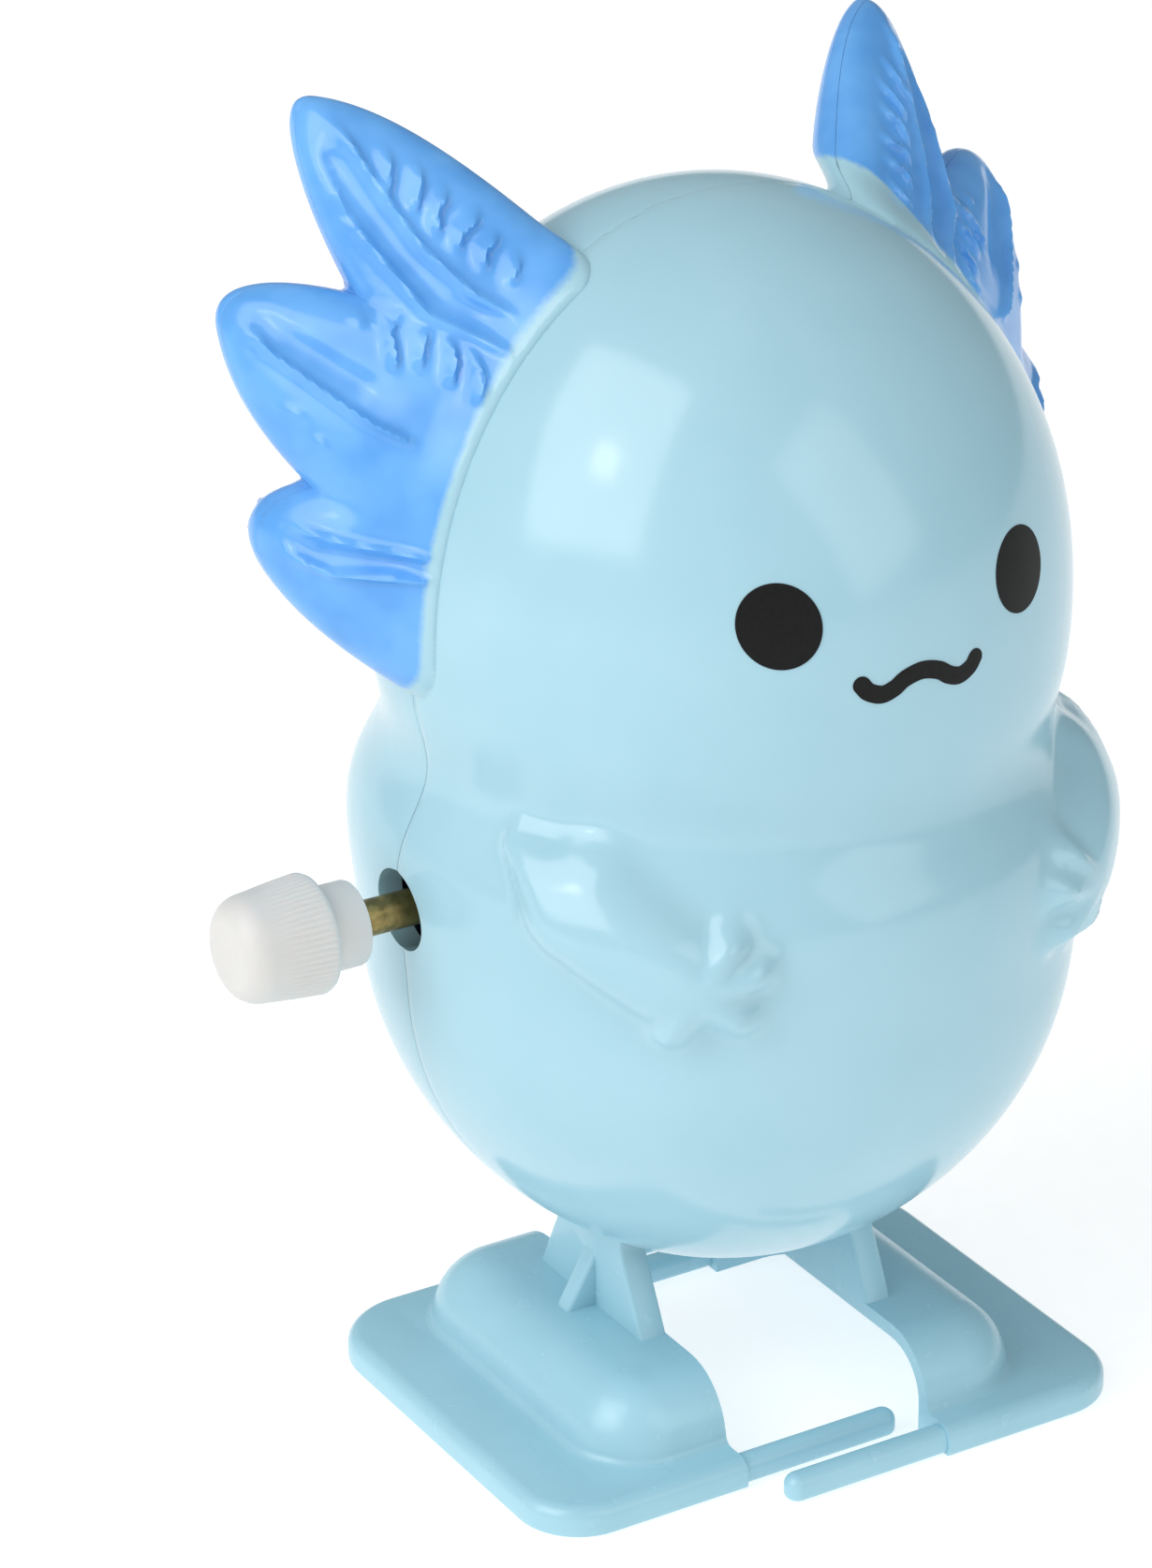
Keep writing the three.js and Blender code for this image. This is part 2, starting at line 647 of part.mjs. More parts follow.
// The rocking pallet, drawn with its own arbor at (0, 0) and the escape wheel below it.
function palletOutline() {
  const half = [
    [1.3, 1.3],
    [4.5, -2.5],
    [3.5, -3.68],
    [2.6, -2.5],
    [0.9, -1.7],
  ];
  const mirrored = half.map(([y, z]) => [-y, z]).reverse();
  return new THREE.Shape([...half, ...mirrored].map(([y, z]) => new THREE.Vector2(y, z)));
}

function pallet() {
  const anchor = toSolid(sidePlate(palletOutline(), ...PALLET.x));
  return toGeometry(anchor.subtract(toSolid(bore(TRAIN_ARBOR_RADIUS, 0, 5))));
}

// ---- Cranks and knob ----

// The x range on one side of the toy for a piece that reaches between two distances from its middle plane.
function onSide(side, near, far) {
  return side > 0 ? [near, far] : [-far, -near];
}

// A crank disc on the axle's end, with its pin thrown forwards or back along Y.
function crank(side, throwTo) {
  const [near, far] = CRANK.discX;
  const disc = toSolid(rod(CRANK.discRadius, ...onSide(side, near, far), 0, 0, 20));
  const pin = toSolid(rod(CRANK.pinRadius, ...onSide(side, far - 0.5, CRANK.pinEnd), throwTo, 0));
  const axleHole = toSolid(bore(CRANK.axleRadius, ...onSide(side, near - 1, far - 0.4)));
  return toGeometry(disc.add(pin).subtract(axleHole));
}

function crankCap(side) {
  const cap = toSolid(rod(CRANK.capRadius, ...onSide(side, LEG.outer + 0.2, CRANK.pinEnd - 0.1)));
  const hole = toSolid(bore(CRANK.pinRadius, ...onSide(side, LEG.outer, CRANK.pinEnd + 1)));
  return toGeometry(cap.subtract(hole));
}

// The knob, turned about X: a collar, then a tapered grip with a rounded end, on a blind bore for the arbor.
function knob() {
  const collar = KNOB.collarX - KNOB.innerX;
  const length = KNOB.collarX - KNOB.outerX;
  const depth = KNOB.collarX - ARBOR.outer + 0.3;
  const hole = ARBOR.radius + RUNNING;
  const round = KNOB.endRound;
  const profile = new THREE.Path();
  profile.moveTo(0, depth);
  profile.lineTo(hole, depth);
  profile.lineTo(hole, 0);
  profile.lineTo(KNOB.collarRadius, 0);
  profile.lineTo(KNOB.collarRadius, collar);
  profile.lineTo(KNOB.innerRadius - 0.3, collar);
  profile.lineTo(KNOB.innerRadius, collar + 0.4);
  profile.lineTo(KNOB.outerRadius, length - round);
  profile.absarc(KNOB.outerRadius - round, length - round, round, 0, Math.PI / 2);
  profile.lineTo(0, length);
  const turned = new THREE.LatheGeometry(profile.getPoints(2), 24);
  return turned.rotateZ(Math.PI / 2).translate(KNOB.collarX, 0, 0);
}

// ---- Assembly ----

const FINISHES = {
  shell: { color: 0xafdbe6, roughness: 0.22, metalness: 0 },
  foot: { color: 0xa3d3e2, roughness: 0.26, metalness: 0 },
  nylon: { color: 0xe6e6e4, roughness: 0.45, metalness: 0 },
  acetal: { color: 0xf2efe6, roughness: 0.4, metalness: 0 },
  brass: { color: 0xa8905c, roughness: 0.35, metalness: 1 },
  steel: { color: 0xb4b8bc, roughness: 0.3, metalness: 1 },
  springSteel: { color: 0x5d6670, roughness: 0.35, metalness: 1 },
};

// A named mesh whose own X axis stands at (y, z), turned about it.
function part(name, geometry, finish, axis = new THREE.Vector2(), turn = 0) {
  const mesh = new THREE.Mesh(geometry, new THREE.MeshStandardMaterial(FINISHES[finish]));
  mesh.name = name;
  mesh.position.set(0, axis.x, axis.y);
  mesh.rotation.x = turn;
  return mesh;
}

function bodyGroup() {
  const group = new THREE.Group();
  group.add(part("front_shell", bodyShell(-1), "shell"), part("back_shell", bodyShell(1), "shell"));
  return group;
}

function windingGroup() {
  const greatWheel = toSolid(sidePlate(gearOutline(GREAT.teeth), ...GREAT.x));
  const ratchet = toSolid(sidePlate(rakedOutline(RATCHET, 0.85, 0.1), ...RATCHET.x));
  const onArbor = (solid) => toGeometry(solid.subtract(toSolid(bore(ARBOR.radius, -2, 3))));
  const group = new THREE.Group();
  group.add(
    part("winding_arbor", rod(ARBOR.radius, ARBOR.outer, CASE.half - 0.1, 0, 0, 12), "brass", windingAxis),
    part("winding_knob", knob(), "nylon", windingAxis),
    part("ratchet_wheel", onArbor(ratchet), "acetal", windingAxis),
    part("great_wheel", onArbor(greatWheel), "acetal", windingAxis, greatTurn),
    part("click_spring", sidePlate(clickOutline(), ...RATCHET.x), "springSteel", windingAxis),
    part("mainspring", sidePlate(mainspringOutline(), ...SPRING.x), "springSteel", windingAxis),
  );
  return group;
}

function trainGroup() {
  const second = wheelAndPinion(gearOutline(SECOND.teeth), SECOND, HUB_RADIUS, TRAIN_ARBOR_RADIUS);
  const crankTeeth = gearOutline(CRANK_GEAR.teeth);
  const crankGear = wheelAndPinion(crankTeeth, CRANK_GEAR, CRANK_HUB_RADIUS, CRANK.axleRadius);
  const escape = wheelAndPinion(rakedOutline(ESCAPE, 0.55, 0.17), ESCAPE, HUB_RADIUS, TRAIN_ARBOR_RADIUS);
  const arbor = () => rod(TRAIN_ARBOR_RADIUS, 0.1 - CASE.half, CASE.half - 0.1, 0, 0, 12);
  const group = new THREE.Group();
  group.add(
    part("second_wheel", second, "acetal", secondAxis),
    part("second_arbor", arbor(), "steel", secondAxis),
    part("crank_gear", crankGear, "acetal", crankAxis, crankGearTurn),
    part("escape_wheel", escape, "acetal", escapeAxis, escapeTurn),
    part("escape_arbor", arbor(), "steel", escapeAxis),
    part("pallet", pallet(), "acetal", palletAxis, THREE.MathUtils.degToRad(PALLET.angle - 90)),
    part("pallet_arbor", arbor(), "steel", palletAxis),
    part("motor_case", motorCase(), "acetal"),
    part("motor_cover", motorCover(), "acetal"),
  );
  return group;
}

// The crank axle with a crank at each end, half a turn apart, and the foot that hangs on each crank pin.
function walkingGroup() {
  const axleEnd = CRANK.discX[1] - 0.5;
  const group = new THREE.Group();
  group.add(part("crank_axle", rod(CRANK.axleRadius, -axleEnd, axleEnd, 0, 0, 12), "steel", crankAxis));
  for (const [name, side] of [["left", -1], ["right", 1]]) {
    const throwTo = -side * CRANK.throw;
    const standing = part(`${name}_foot`, foot(), "foot", new THREE.Vector2(throwTo, 0));
    standing.scale.x = side;
    const guidePin = rod(GUIDE_PIN_RADIUS, ...onSide(side, CASE.half + 0.2, LEG.outer + 0.7));
    group.add(
      standing,
      part(`${name}_crank`, crank(side, throwTo), "acetal", crankAxis),
      part(`${name}_crank_cap`, crankCap(side), "acetal", new THREE.Vector2(throwTo, CRANK.z)),
      part(`${name}_guide_pin`, guidePin, "steel", new THREE.Vector2(0, LEG.guideZ)),
    );
  }
  return group;
}

// The toy is built about its own middle plane, then moved so that its overall box is centred on the origin.
const toy = new THREE.Group();
toy.add(bodyGroup(), windingGroup(), trainGroup(), walkingGroup());
const middle = new THREE.Box3().setFromObject(toy).getCenter(new THREE.Vector3());
toy.position.set(-middle.x, -middle.y, 0);

const root = new THREE.Group();
root.add(toy);
export default root;
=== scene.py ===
"""Looks of the wind-up walking axolotl: its shells, printed face, knob, feet, motor finishes and studio.

Shapes are drawn in the toy's own millimetres: x = 0 is its middle plane, y = 0 the plane where its shells
part, and z = 0 the floor. It faces -Y, with its winding knob on the -X side.
"""

import json
import logging
import math
from collections.abc import Callable, Sequence
from dataclasses import dataclass
from enum import Enum

import bpy
import numpy as np
from mathutils import Matrix, Vector
from mathutils.geometry import delaunay_2d_cdt


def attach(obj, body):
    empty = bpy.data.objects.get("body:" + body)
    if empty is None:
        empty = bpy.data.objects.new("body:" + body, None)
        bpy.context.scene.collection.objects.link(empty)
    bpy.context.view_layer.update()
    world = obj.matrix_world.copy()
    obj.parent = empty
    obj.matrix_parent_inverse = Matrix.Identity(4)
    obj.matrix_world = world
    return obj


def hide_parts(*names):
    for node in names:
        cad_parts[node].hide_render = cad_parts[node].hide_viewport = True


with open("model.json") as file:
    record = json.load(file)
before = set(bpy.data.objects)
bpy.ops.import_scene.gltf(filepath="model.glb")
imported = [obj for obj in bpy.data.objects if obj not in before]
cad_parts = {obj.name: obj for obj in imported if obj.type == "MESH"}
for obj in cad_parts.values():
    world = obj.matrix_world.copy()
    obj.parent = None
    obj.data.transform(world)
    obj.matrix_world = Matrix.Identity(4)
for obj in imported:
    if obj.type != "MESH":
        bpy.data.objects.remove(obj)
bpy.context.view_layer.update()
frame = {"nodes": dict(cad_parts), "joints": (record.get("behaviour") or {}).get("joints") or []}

LOG = logging.getLogger("axolotl")
MM = 0.001
LEAST_RADIUS = 0.04
PINS = {joint["name"]: [value / MM for value in joint["pos_m"]] for joint in frame["joints"]}
MIDDLE_X = PINS["crank_turn"][0]
Point = tuple[float, float]
Colour = tuple[float, float, float, float]
Relief = Callable[[np.ndarray, np.ndarray], np.ndarray]


class Side(Enum):
    """The two sides of the toy, as seen by someone who faces it: left is the -X side."""

    LEFT = -1
    RIGHT = 1


class Cut(Enum):
    """How one closed mesh is combined with another."""

    JOIN = "UNION"
    REMOVE = "DIFFERENCE"
    KEEP = "INTERSECT"


class Axis(Enum):
    """The axis that an outline is extruded along, with the order that puts (a, b, height) into (x, y, z)."""

    X = (2, 0, 1)
    Y = (1, 2, 0)
    Z = (0, 1, 2)


# ---- Meshes ----


def solid(name: str, vertices: np.ndarray, faces: Sequence[Sequence[int]]) -> bpy.types.Object:
    """Makes a mesh object in millimetres, which keeps those units until it is placed.

    Args:
        name: The object's name.
        vertices: One row of x, y, z for each vertex.
        faces: The vertex numbers round each face.

    Returns:
        The new object, linked to the scene.
    """
    mesh = bpy.data.meshes.new(name)
    mesh.from_pydata(np.asarray(vertices, float).tolist(), [], [list(map(int, face)) for face in faces])
    mesh.validate()
    made = bpy.data.objects.new(name, mesh)
    bpy.context.scene.collection.objects.link(made)
    return made


def combine(target: bpy.types.Object, cut: Cut, tool: bpy.types.Object) -> bpy.types.Object:
    """Applies one boolean to a closed mesh and deletes the tool.

    Args:
        target: The object that is changed.
        cut: What the tool does to it.
        tool: The other closed mesh.

    Returns:
        The changed target.
    """
    step = target.modifiers.new(cut.name, "BOOLEAN")
    step.operation = cut.value
    step.solver = "MANIFOLD"
    step.object = tool
    graph = bpy.context.evaluated_depsgraph_get()
    result = bpy.data.meshes.new_from_object(target.evaluated_get(graph))
    if not result.polygons:
        raise RuntimeError(f"{cut.name} left nothing of {target.name}")
    target.modifiers.clear()
    target.data = result
    bpy.data.objects.remove(tool)
    return target


def place(
    piece: bpy.types.Object, body: str, material: bpy.types.Material, *stands_for: str, sharp: float
) -> None:
    """Puts a finished millimetre mesh into the frame, on its body.

    Args:
        piece: The object, still in the toy's millimetres.
        body: The CAD body that it moves with.
        material: Its finish.
        stands_for: The CAD nodes that it replaces.
        sharp: Edges that bend more than this many degrees are shaded sharp.
    """
    piece.data.transform(Matrix.Scale(MM, 4) @ Matrix.Translation((MIDDLE_X, 0, 0)))
    piece.data.materials.clear()
    piece.data.materials.append(material)
    piece.data.shade_smooth()
    piece.data.set_sharp_from_angle(angle=math.radians(sharp))
    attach(piece, body)
    if stands_for:
        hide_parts(*stands_for)
    LOG.info("%s: %d faces on %s", piece.name, len(piece.data.polygons), body)


def tube(rings: np.ndarray) -> list[list[int]]:
    """Joins rings of equal length into a closed skin, with a face over the first and the last.

    Args:
        rings: An array of shape (rings, points, 3); seen from the last ring, each runs anticlockwise.

    Returns:
        The faces, for vertices in the rings' own order.
    """
    count, around = rings.shape[:2]
    faces = []
    for i in range(count - 1):
        for j in range(around):
            k = (j + 1) % around
            faces.append([i * around + j, i * around + k, (i + 1) * around + k, (i + 1) * around + j])
    faces.append(list(range(around))[::-1])
    faces.append([(count - 1) * around + j for j in range(around)])
    return faces


@dataclass(frozen=True)
class Outline:
    """A closed outline drawn anticlockwise, as (a, b, corner radius) for each corner."""

    corners: tuple[tuple[float, float, float], ...]

    def points(self, inset: float = 0.0, arc: int = 6) -> np.ndarray:
        """The outline shrunk by inset, with the same number of points whatever the inset.

        Args:
            inset: How far every side moves inwards.
            arc: How many steps round each corner.

        Returns:
            One row of a, b for each point.
        """
        spots = np.array([corner[:2] for corner in self.corners])
        edges = np.roll(spots, -1, 0) - spots
        edges /= np.linalg.norm(edges, axis=1)[:, None]
        made = []
        for i, (_, _, radius) in enumerate(self.corners):
            before, after = edges[i - 1], edges[i]
            turn = math.atan2(before[0] * after[1] - before[1] * after[0], before @ after)
            bisector = np.array([-before[1] - after[1], before[0] + after[0]])
            bisector /= bisector @ np.array([-after[1], after[0]])
            corner = spots[i] + bisector * inset
            size = max(LEAST_RADIUS, radius - inset if turn > 0 else radius + inset)
            centre = corner + bisector * size * math.copysign(1, turn)
            start = math.atan2(before[1], before[0]) - math.copysign(math.pi / 2, turn)
            for step in range(arc + 1):
                angle = start + turn * step / arc
                made.append(centre + size * np.array([math.cos(angle), math.sin(angle)]))
        return np.array(made)

    def stack(
        self, name: str, levels: Sequence[Point], axis: Axis = Axis.Z, arc: int = 6
    ) -> bpy.types.Object:
        """Makes a closed solid of the outline at several heights.

        Args:
            name: The object's name.
            levels: (height, inset) for each ring, from the lowest up.
            axis: The axis that height is measured along.
            arc: How many steps round each corner.

        Returns:
            The solid.
        """
        rings = []
        for height, inset in levels:
            flat = self.points(inset, arc)
            rings.append(np.column_stack([flat, np.full(len(flat), height)])[:, axis.value])
        rings = np.array(rings)
        return solid(name, rings.reshape(-1, 3), tube(rings))


def rounded(low: float, high: float, low_round: float, high_round: float, steps: int = 5) -> list[Point]:
    """Levels for a stack whose lower and upper edges are rounded.

    Args:
        low: The lowest height.
        high: The highest height.
        low_round: The radius of the lower edge.
        high_round: The radius of the upper edge.
        steps: How many steps round each edge.

    Returns:
        (height, inset) pairs from the lowest up.
    """
    turns = [math.pi / 2 * step / steps for step in range(steps + 1)]
    rise = [(low + low_round * (1 - math.cos(t)), low_round * (1 - math.sin(t))) for t in turns]
    fall = [(high - high_round * (1 - math.sin(t)), high_round * (1 - math.cos(t))) for t in turns]
    return (rise if low_round else [(low, 0.0)]) + fall


def turned(
    name: str,
    profile: Sequence[Point],
    around: int,
    wave: Callable[[float, np.ndarray], np.ndarray] | None = None,
) -> bpy.types.Object:
    """Turns a profile about the X axis.

    Args:
        name: The object's name.
        profile: (x, radius) pairs, from the lowest x up.
        around: How many points there are round the axis.
        wave: Given (x, angle), how far the surface stands out from the profile there.

    Returns:
        The closed solid, on the X axis.
    """
    angles = np.linspace(0, 2 * np.pi, around, endpoint=False)
    rings = []
    for x, radius in profile:
        size = radius + (wave(x, angles) if wave else 0)
        rings.append(np.column_stack([np.full(around, x), size * np.cos(angles), size * np.sin(angles)]))
    rings = np.array(rings)
    return solid(name, rings.reshape(-1, 3), tube(rings))


def shifted(piece: bpy.types.Object, y: float = 0, z: float = 0) -> bpy.types.Object:
    """Moves a mesh's own vertices.

    Args:
        piece: The object.
        y: Millimetres along Y.
        z: Millimetres along Z.

    Returns:
        The same object.
    """
    piece.data.transform(Matrix.Translation((0, y, z)))
    return piece


def block(name: str, x: Point, y: Point, z: Point) -> bpy.types.Object:
    """A cutter with square sides between two values on each axis."""
    plan = Outline(((x[0], y[0], 0), (x[1], y[0], 0), (x[1], y[1], 0), (x[0], y[1], 0)))
    return plan.stack(name, [(z[0], 0), (z[1], 0)], arc=1)


def smoothstep(value: np.ndarray, low: float, high: float) -> np.ndarray:
    """A smooth 0 to 1 ramp of value between low and high."""
    share = np.clip((value - low) / (high - low), 0, 1)
    return share * share * (3 - 2 * share)


# ---- Finishes ----


def add_node(tree: bpy.types.NodeTree, kind: str, inputs: dict | None = None, **settings) -> bpy.types.Node:
    """Adds one shader node.

    Args:
        tree: The node tree.
        kind: The node type, without its "ShaderNode" start.
        inputs: A value for each named or numbered input, or the output socket that feeds it.
        settings: The node's own properties.

    Returns:
        The node.
    """
    node = tree.nodes.new("ShaderNode" + kind)
    for key, value in settings.items():
        setattr(node, key, value)
    for key, value in (inputs or {}).items():
        if isinstance(value, bpy.types.NodeSocket):
            tree.links.new(value, node.inputs[key])
        else:
            node.inputs[key].default_value = value
    return node


def linear(hex_colour: str) -> Colour:
    """An sRGB hex colour as the linear RGBA that shaders use."""
    parts = [int(hex_colour[i : i + 2], 16) / 255 for i in (1, 3, 5)]
    return (*[c / 12.92 if c <= 0.04045 else ((c + 0.055) / 1.055) ** 2.4 for c in parts], 1.0)


def blank(name: str) -> tuple[bpy.types.Material, bpy.types.NodeTree, bpy.types.Node]:
    """Makes a new material.

    Args:
        name: The material's name.

    Returns:
        The material, its node tree and its principled shader.
    """
    material = bpy.data.materials.new(name)
    material.use_nodes = True
    return material, material.node_tree, material.node_tree.nodes["Principled BSDF"]


def set_ramp(node: bpy.types.Node, stops: Sequence[tuple[float, Colour]]) -> bpy.types.NodeSocket:
    """Sets a colour ramp's stops.

    Args:
        node: The colour ramp node.
        stops: (position, colour) pairs, in order.

    Returns:
        The ramp's colour output.
    """
    ramp = node.color_ramp
    while len(ramp.elements) < len(stops):
        ramp.elements.new(1.0)
    for element, (position, colour) in zip(ramp.elements, stops):
        element.position = position
        element.color = colour
    return node.outputs["Color"]


@dataclass(frozen=True)
class MouldedPlastic:
    """Injection-moulded plastic: cloudy pigment, light through the wall, faint orange peel on the gloss."""

    name: str
    colour: str
    deep_colour: str
    roughness: float
    ior: float = 1.53
    translucency: float = 0.12
    cloud_mm: float = 9.0
    peel_mm: float = 1.6
    peel_height_mm: float = 0.004

    def material(self) -> bpy.types.Material:
        """Builds the node material.

        Returns:
            The material.
        """
        material, tree, shader = blank(self.name)
        place_in = add_node(tree, "TexCoord").outputs["Object"]
        clouds = {"Vector": place_in, "Scale": 1 / (self.cloud_mm * MM), "Detail": 2.0}
        cloud = add_node(tree, "TexNoise", clouds)
        stops = [(0.35, linear(self.deep_colour)), (0.65, linear(self.colour))]
        ramp = add_node(tree, "ValToRGB", {"Fac": cloud.outputs["Fac"]})
        tree.links.new(set_ramp(ramp, stops), shader.inputs["Base Color"])
        peels = {"Vector": place_in, "Scale": 1 / (self.peel_mm * MM), "Detail": 1.0}
        peel = add_node(tree, "TexNoise", peels)
        rough = {
            "Value": peel.outputs["Fac"],
            "To Min": self.roughness - 0.02,
            "To Max": self.roughness + 0.03,
        }
        tree.links.new(add_node(tree, "MapRange", rough).outputs["Result"], shader.inputs["Roughness"])
        bump = {"Height": peel.outputs["Fac"], "Strength": 0.5, "Distance": self.peel_height_mm * MM}
        tree.links.new(add_node(tree, "Bump", bump).outputs["Normal"], shader.inputs["Normal"])
        shader.inputs["IOR"].default_value = self.ior
        shader.inputs["Subsurface Weight"].default_value = self.translucency
        shader.inputs["Subsurface Radius"].default_value = (0.6, 0.9, 1.0)
        shader.inputs["Subsurface Scale"].default_value = 1.5 * MM
        return material


@dataclass(frozen=True)
class PaintedShell(MouldedPlastic):
    """Glossy shell plastic with sprayed gills: the paint is glossy too, and thins to a mist at the head."""

    paint: str = "#67ACEE"
    paint_shade: str = "#579EE4"
    paint_roughness: float = 0.2

    def material(self) -> bpy.types.Material:
        """Builds the plastic, then lays the paint over it where the mesh says paint.

        Returns:
            The material.
        """
        material = super().material()
        tree = material.node_tree
        shader = tree.nodes["Principled BSDF"]
        place_in = add_node(tree, "TexCoord").outputs["Object"]
        mist = add_node(tree, "TexNoise", {"Vector": place_in, "Scale": 1 / (0.5 * MM), "Detail": 3.0})
        sprayed = add_node(tree, "Attribute", attribute_name="paint").outputs["Fac"]
        speckle = add_node(tree, "Math", {0: mist.outputs["Fac"], 1: 0.5}, operation="SUBTRACT").outputs[0]
        edge = add_node(tree, "Math", {0: speckle, 1: 0.35, 2: sprayed}, operation="MULTIPLY_ADD").outputs[0]
        limits = {"Value": edge, "From Min": 0.2, "From Max": 0.8}
        cover = add_node(tree, "MapRange", limits).outputs["Result"]
        coat = add_node(tree, "TexNoise", {"Vector": place_in, "Scale": 1 / (4 * MM), "Detail": 2.0})
        coat_ramp = add_node(tree, "ValToRGB", {"Fac": coat.outputs["Fac"]})
        paint = set_ramp(coat_ramp, [(0.35, linear(self.paint_shade)), (0.65, linear(self.paint))])
        bare = shader.inputs["Base Color"].links[0].from_socket
        both = add_node(tree, "Mix", {0: cover, 6: bare, 7: paint}, data_type="RGBA")
        tree.links.new(both.outputs[2], shader.inputs["Base Color"])
        gloss = shader.inputs["Roughness"].links[0].from_socket
        rough = add_node(tree, "Mix", {0: cover, 2: gloss, 3: self.paint_roughness})
        tree.links.new(rough.outputs[0], shader.inputs["Roughness"])
        return material


@dataclass(frozen=True)
class PrintInk:
    """Pad-printed ink: near black, smooth, with the faint mottle of a silicone pad."""

    name: str = "pad_print_ink"
    colour: str = "#0B0B0C"
    thin_colour: str = "#111113"

    def material(self) -> bpy.types.Material:
        """Builds the node material.

        Returns:
            The material.
        """
        material, tree, shader = blank(self.name)
        place_in = add_node(tree, "TexCoord").outputs["Object"]
        mottle = add_node(tree, "TexNoise", {"Vector": place_in, "Scale": 1 / (0.3 * MM), "Detail": 3.0})
        ramp = add_node(tree, "ValToRGB", {"Fac": mottle.outputs["Fac"]})
        stops = [(0.4, linear(self.colour)), (0.7, linear(self.thin_colour))]
        tree.links.new(set_ramp(ramp, stops), shader.inputs["Base Color"])
        bump = {"Height": mottle.outputs["Fac"], "Strength": 0.3, "Distance": 0.004 * MM}
        tree.links.new(add_node(tree, "Bump", bump).outputs["Normal"], shader.inputs["Normal"])
        shader.inputs["Roughness"].default_value = 0.5
        shader.inputs["IOR"].default_value = 1.3
        return material


@dataclass(frozen=True)
class Metal:
    """Bare metal: lines left by its tool across the axis, and dull patches where it has tarnished."""

    name: str
    colour: str
    tarnish: str
    roughness: float
    line_mm: float = 0.12

    def material(self) -> bpy.types.Material:
        """Builds the node material.

        Returns:
            The material.
        """
        material, tree, shader = blank(self.name)
        place_in = add_node(tree, "TexCoord").outputs["Object"]
        patches = add_node(tree, "TexNoise", {"Vector": place_in, "Scale": 1 / (1.2 * MM), "Detail": 3.0})
        ramp = add_node(tree, "ValToRGB", {"Fac": patches.outputs["Fac"]})
        stops = [(0.4, linear(self.tarnish)), (0.62, linear(self.colour))]
        tree.links.new(set_ramp(ramp, stops), shader.inputs["Base Color"])
        lines = {"Vector": place_in, "Scale": 1 / (self.line_mm * MM) / 20, "Distortion": 1.5, "Detail": 2.0}
        turning = add_node(tree, "TexWave", lines, bands_direction="X")
        rough = {
            "Value": patches.outputs["Fac"],
            "To Min": self.roughness + 0.1,
            "To Max": self.roughness - 0.05,
        }
        tree.links.new(add_node(tree, "MapRange", rough).outputs["Result"], shader.inputs["Roughness"])
        bump = {"Height": turning.outputs["Fac"], "Strength": 0.35, "Distance": 0.006 * MM}
        tree.links.new(add_node(tree, "Bump", bump).outputs["Normal"], shader.inputs["Normal"])
        shader.inputs["Metallic"].default_value = 1.0
        return material


@dataclass(frozen=True)
class LightTable:
    """A light table's opal acrylic: pale, and lit from below, so that the toy's shadow all but vanishes."""

    name: str = "light_table"
    colour: str = "#C6C8C8"
    speck_colour: str = "#C1C3C3"
    glow: float = 0.66

    def material(self) -> bpy.types.Material:
        """Builds the node material.

        Returns:
            The material.
        """
        material, tree, shader = blank(self.name)
        place_in = add_node(tree, "TexCoord").outputs["Object"]
        specks = add_node(tree, "TexNoise", {"Vector": place_in, "Scale": 1 / (2 * MM), "Detail": 4.0})
        ramp = add_node(tree, "ValToRGB", {"Fac": specks.outputs["Fac"]})
        stops = [(0.3, linear(self.speck_colour)), (0.7, linear(self.colour))]
        tree.links.new(set_ramp(ramp, stops), shader.inputs["Base Color"])
        shader.inputs["Roughness"].default_value = 0.9
        shader.inputs["Emission Color"].default_value = (1.0, 1.0, 1.0, 1.0)
        shader.inputs["Emission Strength"].default_value = self.glow
        return material


# ---- Body ----


@dataclass(frozen=True)
class Lobe:
    """One rounded mass of the body: its widest height, its half width, how far it reaches up and down."""

    centre_z: float
    half_width: float
    up: float
    down: float
    power: float

    def half_width_at(self, z: np.ndarray, inset: float) -> np.ndarray:
        """The lobe's half width at each height.

        Args:
            z: The heights.
            inset: How far inside the outer surface.

        Returns:
            The half widths.
        """
        reach = np.where(z > self.centre_z, self.up, self.down) - inset
        share = np.clip(np.abs(z - self.centre_z) / reach, 0, 1)
        return (self.half_width - inset) * (1 - share**self.power) ** (1 / self.power)


